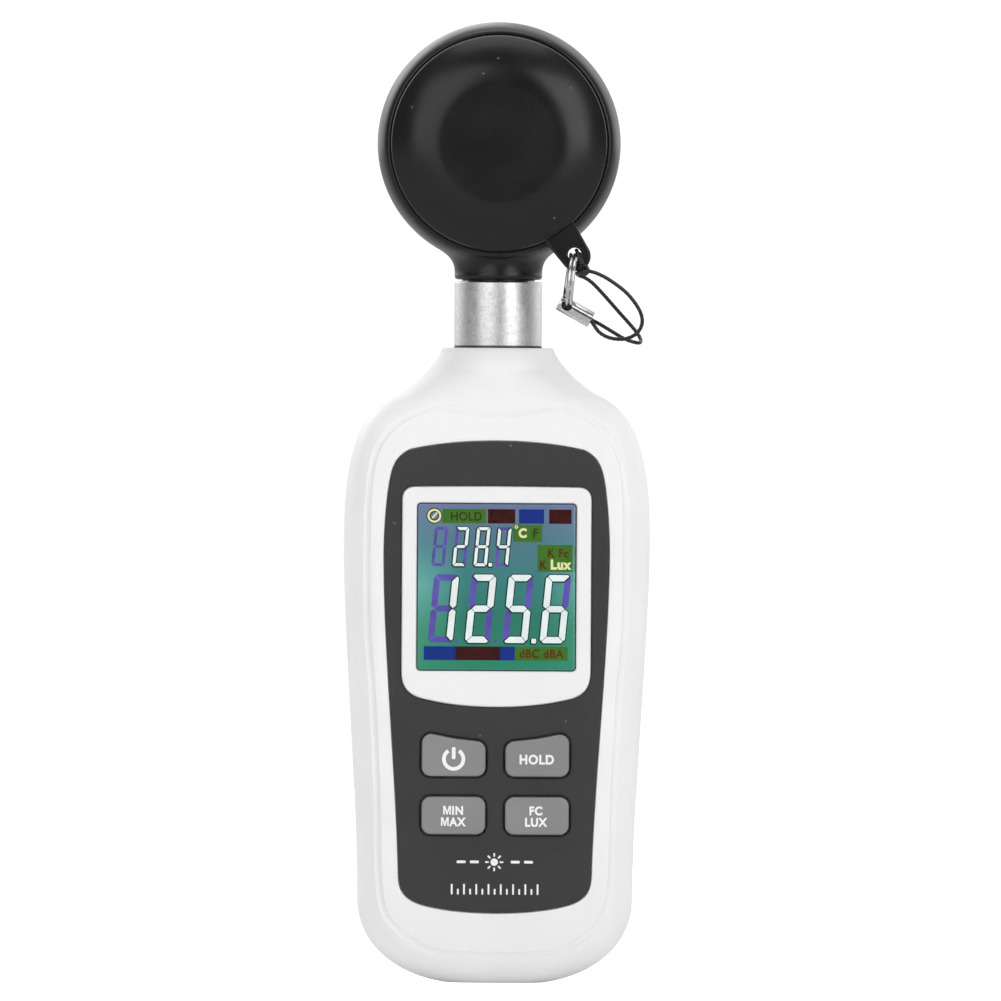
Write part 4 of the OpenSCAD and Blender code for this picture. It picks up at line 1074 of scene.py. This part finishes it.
def inked(name, outlines, material, front):
    """Plain marks on the display glass."""
    return printed(name, [[outline] for outline in outlines], material, front, INK_BACK)


LETTER_WIDTH = 0.92


def lettering(name, texts, material, front, back=INK_BACK, body="handset", slot="lcd", bold=0.035):
    """Words as thin solids. Each text is (word, height of capitals, x of its middle, z of its foot)."""
    parts = []
    for word, size, x, z in texts:
        font = bpy.data.curves.new(name, "FONT")
        font.body = word
        font.align_x = "CENTER"
        font.size = size / CAPITALS
        font.offset = bold * size
        font.space_character = 1 + 2 * bold
        font.extrude = (back - front) / 2
        font.resolution_u = 6
        sign = bpy.data.objects.new(name, font)
        scene.collection.objects.link(sign)
        shown = sign.evaluated_get(bpy.context.evaluated_depsgraph_get())
        mesh = bpy.data.meshes.new_from_object(shown)
        bpy.data.objects.remove(sign)
        points = [(x + v.co.x * LETTER_WIDTH, (front + back) / 2 - v.co.z, z + v.co.y)
                  for v in mesh.vertices]
        parts.append(new_object(name, points, [tuple(p.vertices) for p in mesh.polygons]))
    return piece(join(name, parts), material, body, smooth=20)


def make_readout():
    """Figures, colour blocks, words and the dial mark, each in a thin layer of its own. The lit marks get
    a painted shadow round them.
    """
    small_lit, small_unlit = figure_row(" 284", -10.95, 69.3, 2.3, 6.6, 0.6, 3.52)
    big_lit, big_unlit = figure_row("1256", -11.5, 56.56, 4.25, 11.45, 1.15, 6.22)
    points = [rounded_box(-1.35, -0.75, 69.3, 69.9, 0.12), rounded_box(5.85, 6.65, 56.55, 57.35, 0.15)]
    faint = [rounded_box(x, x + 0.6, 56.7, 57.3, 0.15) for x in (-6.9, -0.45)]
    lit = small_lit + big_lit + points
    # Painted shadow: dark plates a little larger than each lit mark, shifted down and to the left.
    shade = [[p + Vector((-0.03, -0.04)) for p in inset(shape, -0.2)] for shape in lit]
    inked("lcd_unlit_segments", small_unlit + big_unlit + faint, UNLIT, UNLIT_FRONT)
    inked("lcd_segment_painted_shadows", shade, DARK_EDGE_AND_SHADOW, EDGE_FRONT)
    inked("lcd_lit_segments", lit, LIT, LIT_FRONT)

    top, bottom = (76.47, 78.85), (53.7, 56.0)
    green = [(-9.05, -1.77, *top), (2.7, 7.55, 73.45, 76.3), (6.8, 12.6, 68.5, 72.95),
             (3.1, 11.9, *bottom)]
    red = [(-1.5, 3.05, *top), (8.68, 12.43, *top), (-6.8, 0.6, *bottom)]
    blue = [(3.68, 7.85, *top), (-12.05, -6.8, *bottom), (0.6, 3.1, *bottom)]
    inked("lcd_green_blocks", [rectangle(*box) for box in green], GREEN, GREEN_FRONT)
    inked("lcd_red_blocks", [rectangle(*box) for box in red], RED, BLOCK_FRONT)
    inked("lcd_blue_blocks", [rectangle(*box) for box in blue], BLUE, BLOCK_FRONT)
    lettering("lcd_dark_words", [("HOLD", 1.45, -5.1, 76.95), ("F", 1.5, 6.4, 74.2)], DARK, WORD_FRONT)
    lettering("lcd_brown_words", [("K Fc", 1.45, 10.2, 70.9), ("K", 1.45, 7.7, 68.95),
                                  ("dBC dBA", 1.45, 7.5, 54.15)], BROWN, WORD_FRONT)
    lettering("lcd_cream_words", [("C", 1.5, 4.3, 74.2), ("Lux", 1.6, 10.6, 68.95)], CREAM, BRIGHT_FRONT,
              bold=0.07)

    centre, degree = (-10.4, 77.7), (3.25, 75.9)
    turn = Matrix.Rotation(math.radians(-42), 2)
    corners = [(-0.17, -0.5), (0.17, -0.5), (0.13, 0.72), (-0.13, 0.72)]
    hand = [Vector(centre) + turn @ Vector(p) for p in corners]
    dial = [arc(*centre, 1.16), arc(*centre, 0.8)]
    degree_ring = [arc(*degree, 0.3), arc(*degree, 0.13)]
    printed("lcd_dial_mark", [dial, degree_ring, [hand]], CREAM, BRIGHT_FRONT, INK_BACK)
    printed("lcd_dial_edge", [[arc(*centre, 1.32), arc(*centre, 0.6)]], DARK_EDGE_AND_SHADOW, DIAL_EDGE_FRONT,
            INK_BACK)


make_glass()
make_readout()

# ---- keys ----

KEY_FRONT, FLANGE_FRONT, FLANGE_BACK, STEM_END = -13.8, -10.8, -10.0, -7.5
STEM_R, UPPER_STEM_Z, LOWER_STEM_Z = 1.6, 37.8, 27.9


def letter_m(x, z, wide, high, stem):
    """Outline of a bold M with its foot at x, z."""
    left = [(0, high), (0, 0), (stem, 0), (stem, high * 0.64), (wide / 2 - stem * 0.42, 0)]
    right = [(wide - px, pz) for px, pz in reversed(left)]
    notch = [(wide - stem * 1.3, high), (wide / 2, high * 0.38), (stem * 1.3, high)]
    return [(x + px, z + pz) for px, pz in left + right + notch]


def make_keys():
    """Soft keys with a rounded rim, a flange behind the panel and a stem over the dome switch."""
    for node, (side, upper, body) in KEYS.items():
        outline = key_line(side, upper)
        rings = [(1.1, KEY_FRONT + 0.07), (0.95, KEY_FRONT + 0.06), (0.6, KEY_FRONT)]
        rings += edge_rings(KEY_FRONT, FLANGE_FRONT + 0.2, 0.38, steps=6)[1:]
        top = plate(node + "_top", [outline], rings)
        flange_rings = edge_rings(FLANGE_FRONT, FLANGE_BACK, 0.1, 0.1, 2)
        flange = plate("flange", [inset(outline, -0.7)], flange_rings)
        stem_z = UPPER_STEM_Z if upper else LOWER_STEM_Z
        stem = rod("stem", side * KEY_X, stem_z, STEM_R, FLANGE_FRONT + 0.4, STEM_END)
        piece(fuse(top, flange, stem), KEY_GREY, body, [node], 35)

    layer = KEY_FRONT - 0.02, KEY_FRONT + 0.14
    size, upper_z, lower_z = 1.42, 28.05, 26.15
    words = {"hold": [("HOLD", 1.55, 6.85, 36.52)],
             "minmax": [("IN", size, -6.24, upper_z), ("AX", size, -6.26, lower_z)],
             "unit": [("FC", size, 6.75, upper_z), ("LUX", size, 6.75, lower_z)]}
    for key, texts in words.items():
        lettering(key + "_legend", texts, LEGEND_WHITE, *layer, key + "_button", "key_grey", 0.06)
    places = [(-8.64, upper_z - 0.02), (-9.0, lower_z - 0.02)]
    initials = [[letter_m(x, z, 1.3, 1.46, 0.27)] for x, z in places]
    printed("minmax_initials", initials, LEGEND_WHITE, *layer, "minmax_button", "key_grey")

    x, z, radius, half_stroke = -6.95, 37.25, 1.62, 0.31
    start, stop = math.radians(90 + 33), math.radians(450 - 33)
    outer = arc(x, z, radius + half_stroke, start, stop, 40)
    inner = arc(x, z, radius - half_stroke, start, stop, 40)
    ring = outer + inner[::-1]
    bar = rounded_box(x - half_stroke, x + half_stroke, z, z + 2.0, 0.22, 4)
    printed("power_legend", [[ring], [bar]], LEGEND_WHITE, *layer, "power_button", "key_grey")


def make_fascia_mark():
    """A plain sun and a row of scale ticks, printed under the keys."""
    centre = Vector((-0.1, 20.15))
    turns = [Matrix.Rotation(math.tau * k / 8, 2) for k in range(8)]
    ray, foot, ticks, pitch = rectangle(-0.14, 0.14, 0.92, 1.5), 14.75, 15, 1.02
    shapes = [arc(*centre, 0.62)] + [[centre + turn @ Vector(p) for p in ray] for turn in turns]
    shapes += [rounded_box(x - 0.75, x + 0.75, 19.95, 20.4, 0.15) for x in (-3.4, -5.6, 3.4, 5.6)]
    for k in range(ticks):
        x = (k - (ticks - 1) / 2) * pitch
        shapes.append(rounded_box(x - 0.15, x + 0.15, foot, foot + (0.95 if k % 2 else 1.75), 0.08, 2))
    printed("fascia_mark", [[shape] for shape in shapes], LEGEND_WHITE, -12.915, -12.8,
            slot="fascia_charcoal")


make_keys()
make_fascia_mark()

# ---- battery door and back ----


def make_door():
    door = plate("door", [rounded_box(-DOOR_HALF, DOOR_HALF, DOOR_LOW, DOOR_HIGH, 0.9, 5)],
                 edge_rings(BACK_DEPTH - DOOR_THICK, BACK_DEPTH, 0.1, 0.22, 4))
    dent_r, dent_half, dent_z, dent_deep = 9.0, 6.0, DOOR_HIGH - 7, 0.8
    cut(door, bar_x("finger_recess", dent_half, BACK_DEPTH + dent_r - dent_deep, dent_z, dent_r, 128))
    parts = []
    for step in (-1.5, 0, 1.5):
        low = BACK_DEPTH - dent_deep + dent_r - math.sqrt(dent_r ** 2 - step ** 2)
        z = dent_z + step
        parts.append(block("rib", (-5.2, 5.2), (low - 0.3, low + 0.22), (z - 0.22, z + 0.22), 0.15))
    for x in (-11, 11):
        knuckle = bar_x("knuckle", 3, HINGE_Y, HINGE_Z, KNUCKLE_R)
        knuckle.data.transform(Matrix.Translation((x * MM, 0, 0)))
        tab = block("tab", (x - 3, x + 3), (HINGE_Y - KNUCKLE_R, HINGE_Y + KNUCKLE_R),
                    (HINGE_Z, DOOR_LOW + 0.8))
        parts += [knuckle, tab]
    fuse(door, *parts)
    arrow = rounded([(-1.6, 56.6), (1.6, 56.6), (0, 54.2)], 0.2, 3)
    cut(door, slab("trench", [inset(arrow, -0.25)], BACK_DEPTH - 0.35, BACK_DEPTH + 1))
    arrow_rings = [(0, BACK_DEPTH - 0.5), (0, BACK_DEPTH - 0.05), (0.06, BACK_DEPTH)]
    fuse(door, plate("arrow", [arrow], arrow_rings))
    piece(door, WHITE, "battery_cover", ["battery_door"], 30)


def make_label_marks():
    """Rating label: three cells with their poles, a direct-current sign and plain lines."""
    shapes = []
    for x, plus_z, minus_z in ((9.5, 79.1, 76.4), (4.3, 76.4, 79.1), (-0.9, 79.1, 76.4)):
        shapes.append([rounded_box(x - 1.9, x + 1.9, 75, 80.6, 0.3),
                       rounded_box(x - 1.65, x + 1.65, 75.25, 80.35, 0.2)])
        bars = [(0.6, 80.6, 81.1), (0.7, plus_z - 0.15, plus_z + 0.15),
                (0.15, plus_z + 0.15, plus_z + 0.7), (0.15, plus_z - 0.7, plus_z - 0.15),
                (0.7, minus_z - 0.15, minus_z + 0.15)]
        shapes += [[rectangle(x - half, x + half, low, high)] for half, low, high in bars]
    shapes.append([rectangle(-10.5, -6.5, 79.3, 79.6)])
    shapes += [[rectangle(-10.5 + 1.45 * k, -9.4 + 1.45 * k, 78.3, 78.6)] for k in range(3)]
    shapes += [[rectangle(-10.5, -5.2 - 0.8 * (k % 2), 76.6 - 0.9 * k, 76.85 - 0.9 * k)]
               for k in range(3)]
    printed("label_marks", shapes, LEGEND_GREY, BACK_DEPTH - 0.12, BACK_DEPTH - 0.035,
            slot="label_silver")


make_door()
make_label_marks()

# ---- neck and head ----

HEAD_Z, HEAD_R, HEAD_BACK, SPLIT_Y = 139.75, 20.25, 13.0, -1.0
HEAD_CENTRE = (0, 0, HEAD_Z)
HEAD_FRONT, HEAD_WALL, HEAD_POWER = -8.0, 1.8, 2.6
SLEEVE_R, SLEEVE_TOP = 7.3, 116.75
NECK_LOW, SPIGOT_R, NECK_BORE = 117.1, 5.0, 3.4
HEAD_SCREWS = [-13, 13]
BOSS_R, WELL_R, WELL_FLOOR, DRILL_R = 2.6, 1.9, 4.5, 1.15
RECESS_R, BROW_R, BROW_FRONT = 18.15, 18.27, -8.45


def bowl_radius(y):
    """Radius of the outside of the head at depth y."""
    if y >= SPLIT_Y:
        depth = (y - SPLIT_Y) / (HEAD_BACK - SPLIT_Y)
        return HEAD_R * max(0, 1 - depth ** HEAD_POWER) ** (1 / HEAD_POWER)
    depth = (SPLIT_Y - y) / (SPLIT_Y - BROW_FRONT)
    return mix(BROW_R, HEAD_R, math.sqrt(max(0, 1 - depth ** 2)))


def make_sleeve():
    """The blasted sleeve, with a shallow groove above the handset that a dark ring fills as painted
    shadow in the joint.
    """
    groove_r = SLEEVE_R - 0.12
    profile = [(6.5, 96.3), (8.6, 96.3), (8.6, 97.5), (SLEEVE_R, 97.5), (SLEEVE_R, 105.6),
               (groove_r, 105.75), (groove_r, 105.95), (SLEEVE_R, 106.1),
               *arc(SLEEVE_R - 0.3, SLEEVE_TOP - 0.3, 0.3, 0, math.pi / 2, 5), (6.75, SLEEVE_TOP),
               (6.5, SLEEVE_TOP - 0.25)]
    piece(lathe("sleeve", profile, 192), SLEEVE, "handset", ["neck_sleeve"], 35)
    # Painted shadow: a dark ring where the sleeve enters the handset.
    ring = lathe("sleeve_shadow_ring", rectangle(SLEEVE_R - 0.1, SLEEVE_R + 0.03, 105.72, 105.93), 128)
    piece(ring, INNER_BLACK, "handset", smooth=30)


def bowl_profile(wall, steps):
    """Half section of the rear shell, from the pole to its edge, as deep inside the skin as wall."""
    wide, deep, power = HEAD_R - wall, HEAD_BACK - SPLIT_Y - wall, 2 / HEAD_POWER
    return [(wide * math.sin(f) ** power, SPLIT_Y + deep * math.cos(f) ** power)
            for f in quarter_turn(steps)]


def duct():
    """Room for the leads, up through the neck."""
    return lathe("duct", [(0, 110), (NECK_BORE, 110), (NECK_BORE, 124), (0, 124)], 48)


def make_head_back():
    outer = bowl_profile(0, 48)[:-1] + [(HEAD_R, SPLIT_Y + 0.25), (HEAD_R - 0.12, SPLIT_Y + 0.02)]
    inner = [(HEAD_R - HEAD_WALL, SPLIT_Y + 0.02)] + bowl_profile(HEAD_WALL, 20)[-2::-1]
    shell = lathe("head_back_shell", outer + inner, 160, "y", HEAD_CENTRE)
    columns = [rod("column", x, HEAD_Z, BOSS_R, SPLIT_Y + 0.02, 9.5) for x in HEAD_SCREWS]
    wells = [rod("well", x, HEAD_Z, WELL_R, WELL_FLOOR, 20, 40) for x in HEAD_SCREWS]
    drills = [rod("drill", x, HEAD_Z, DRILL_R, -2, 5) for x in HEAD_SCREWS]
    cut(fuse(shell, *columns), *wells, *drills, duct())
    piece(shell, HEAD_BLACK, "sensor_head", ["head_rear_shell"], 30)


def make_head_front():
    lip = [(mix(BROW_R, HEAD_R, math.cos(f)), mix(SPLIT_Y, BROW_FRONT, math.sin(f)))
           for f in quarter_turn(36)[1:]]
    profile = [(HEAD_R - HEAD_WALL, SPLIT_Y - 0.02), (HEAD_R - 0.12, SPLIT_Y - 0.02),
               (HEAD_R - 0.01, SPLIT_Y - 0.15), *lip, (RECESS_R + 0.04, BROW_FRONT + 0.04),
               (RECESS_R, BROW_FRONT + 0.12), (RECESS_R, HEAD_FRONT), (17.6, HEAD_FRONT),
               (17.5, HEAD_FRONT + 0.35), (17.0, HEAD_FRONT + 0.35), (16.9, HEAD_FRONT), (16.9, -10.2),
               (16.7, -10.4), (15.35, -10.4), (15.2, -10.25), (15.2, HEAD_FRONT), (12.3, HEAD_FRONT),
               (12.2, -7.9), (12.2, -6.2), (17.45, -6.2), (18.45, -4.6)]
    ring = cut(lathe("head_front_part", profile, 160, "y", HEAD_CENTRE), duct())
    piece(ring, HEAD_BLACK, "sensor_head", ["head_front_ring"], 30)
    boss = rectangle(0.85, BOSS_R, SPLIT_Y - 0.02, -6.6)
    bosses = [lathe("boss", boss, 40, "y", (x, 0, HEAD_Z)) for x in HEAD_SCREWS]
    piece(join("head_bosses", bosses), HEAD_BLACK, "sensor_head", smooth=30)


def make_neck():
    """The turned neck and a fillet that sweeps from it into the round head."""
    low = [(NECK_BORE, 94.4), (SPIGOT_R - 0.3, 94.4), (SPIGOT_R, 94.7), (SPIGOT_R, 95.2), (4.5, 95.2),
           (4.5, 96.0), (SPIGOT_R, 96.0), (SPIGOT_R, 116.85), (6.1, 116.85), (6.1, NECK_LOW)]
    low += arc(SLEEVE_R - 0.55, NECK_LOW + 0.55, 0.55, -math.pi / 2, 0, 6)
    low += [(SLEEVE_R, 118.3), (SLEEVE_R - 0.5, 119.6), (NECK_BORE, 119.6)]
    piece(lathe("head_neck", low, 128), HEAD_BLACK, "sensor_head", smooth=30)

    around, rise, far, face = 128, 18, 10.2, 7.75
    points = []
    for i in range(around):
        angle = math.tau * i / around
        out = Vector((math.cos(angle), math.sin(angle), 0))
        front = max(0, -out.y)
        reach = min(far, face / max(front, 0.1))

        def on_head(distance):
            x, y = out.x * distance, out.y * distance
            radius = bowl_radius(y)
            return Vector((x, y, HEAD_Z - math.sqrt(max(0, radius ** 2 - x * x))))
        end = on_head(reach)
        slope = (on_head(reach + 0.05) - on_head(reach - 0.05)).normalized()
        start = out * SLEEVE_R + Vector((0, 0, 118.2))
        span = (end - start).length * 0.42
        handles = [start, start + Vector((0, 0, span)), end - slope * span, end]
        row = [cubic(handles, k / rise) for k in range(rise + 1)]
        points += row + [row[-1] + Vector((-out.x, -out.y, 0.4)) * 1.2,
                         out * (SLEEVE_R - 1) + Vector((0, 0, 118.6))]
    tall = rise + 3
    faces = []
    for i in range(around):
        a, b = i * tall, ((i + 1) % around) * tall
        faces += [(a + k, b + k, b + (k + 1) % tall, a + (k + 1) % tall) for k in range(tall)]
    fillet = new_object("head_neck_fillet", points, faces)
    piece(fillet, HEAD_BLACK, "sensor_head", smooth=60)


make_sleeve()
make_head_back()
make_head_front()
make_neck()

# ---- cap ----

CAP_R, CAP_BORE, CAP_FRONT, CAP_BACK, CAP_INNER = 17.95, 17.2, 14.0, -8.15, -12.65
LUG_ANGLE = math.radians(-55.5)
LUG_OUT, LUG_TIP_R, LUG_HOLE, LUG_HOLE_R = 22.7, 2.5, 22.4, 1.15
LUG_FRONT, LUG_BACK = -10.1, -8.55


def make_cap():
    """The round cap, hollow behind, and its lug with the hole for the ring."""
    flat_r, fall, edge, dish = 9.5, 3.0, 0.4, 0.12
    brow = (CAP_R - edge, -CAP_FRONT + fall)
    rim = (CAP_R, brow[1] + 1.5 * edge)
    turn = [(*rim, 0), (CAP_R, rim[1] - 0.25, 0), (CAP_R - 0.16, brow[1] + 0.16, 0), (*brow, 0)]
    profile = [(CAP_BORE, CAP_BACK), (CAP_R - 0.1, CAP_BACK), (CAP_R, CAP_BACK - 0.1)]
    profile += [tuple(cubic(turn, i / 8)[:2]) for i in range(8)]
    profile += [(mix(flat_r, brow[0], t), -CAP_FRONT + fall * t * t)
                for t in (1 - i / 50 for i in range(51))]
    profile += [(flat_r * (1 - t), -CAP_FRONT + dish * ease(0, 1, t))
                for t in (i / 16 for i in range(1, 17))]
    profile += [(0, CAP_INNER), (12.5, CAP_INNER), (15.2, CAP_INNER + 1), (CAP_BORE, CAP_INNER + 2.5)]
    cap = lathe("cap_shell", profile, 192, "y", HEAD_CENTRE)
    piece(cap, CAP_BLACK, "cap", ["sensor_cap"], 30)

    root_half = 2.95
    root = math.sqrt((CAP_R - 0.35) ** 2 - root_half ** 2)
    outline = [Vector((root, -root_half)), *arc(LUG_OUT, 0, LUG_TIP_R, -math.pi / 2, math.pi / 2, 20),
               Vector((root, root_half))]
    turn = Matrix.Rotation(LUG_ANGLE, 2)
    hole = arc(LUG_HOLE, 0, LUG_HOLE_R, steps=32)
    loops = [[Vector((0, HEAD_Z)) + turn @ p for p in loop] for loop in (outline, hole)]
    lug = plate("cap_lug", loops, edge_rings(LUG_FRONT, LUG_BACK, 0.35, 0.2))
    piece(lug, CAP_BLACK, "cap", smooth=40)


make_cap()

# ---- parts that keep their CAD shape ----

KEPT = {"housing_screws": SPRING, "lcd_frame": INNER_BLACK, "lcd_backlight": BACKLIGHT,
        "connector_strip": COMPONENT, "main_board": BOARD, "board_components": COMPONENT,
        "key_domes": SPRING, "key_mat": KEY_GREY, "battery_cells": CELL, "battery_springs": SPRING,
        "battery_contacts": BRASS, "battery_leads": LEAD_RED, "rating_label": LABEL, "swivel_bush": BUSH,
        "swivel_clip": SPRING, "sensor_leads": LEAD_RED, "head_screws": SPRING, "diffuser_dome": OPAL,
        "diffuser_ring": INNER_BLACK, "colour_filter": FILTER, "photodiode": DIE, "sensor_board": BOARD,
        "thermistor": COMPONENT}


def dress_kept_nodes():
    """Materials and smooth shading for the CAD nodes that stay."""
    for name, material in KEPT.items():
        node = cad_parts[name]
        node.data.materials.clear()
        node.data.materials.append(material)
        node.data.shade_smooth()
        node.data.set_sharp_from_angle(angle=math.radians(35))


dress_kept_nodes()
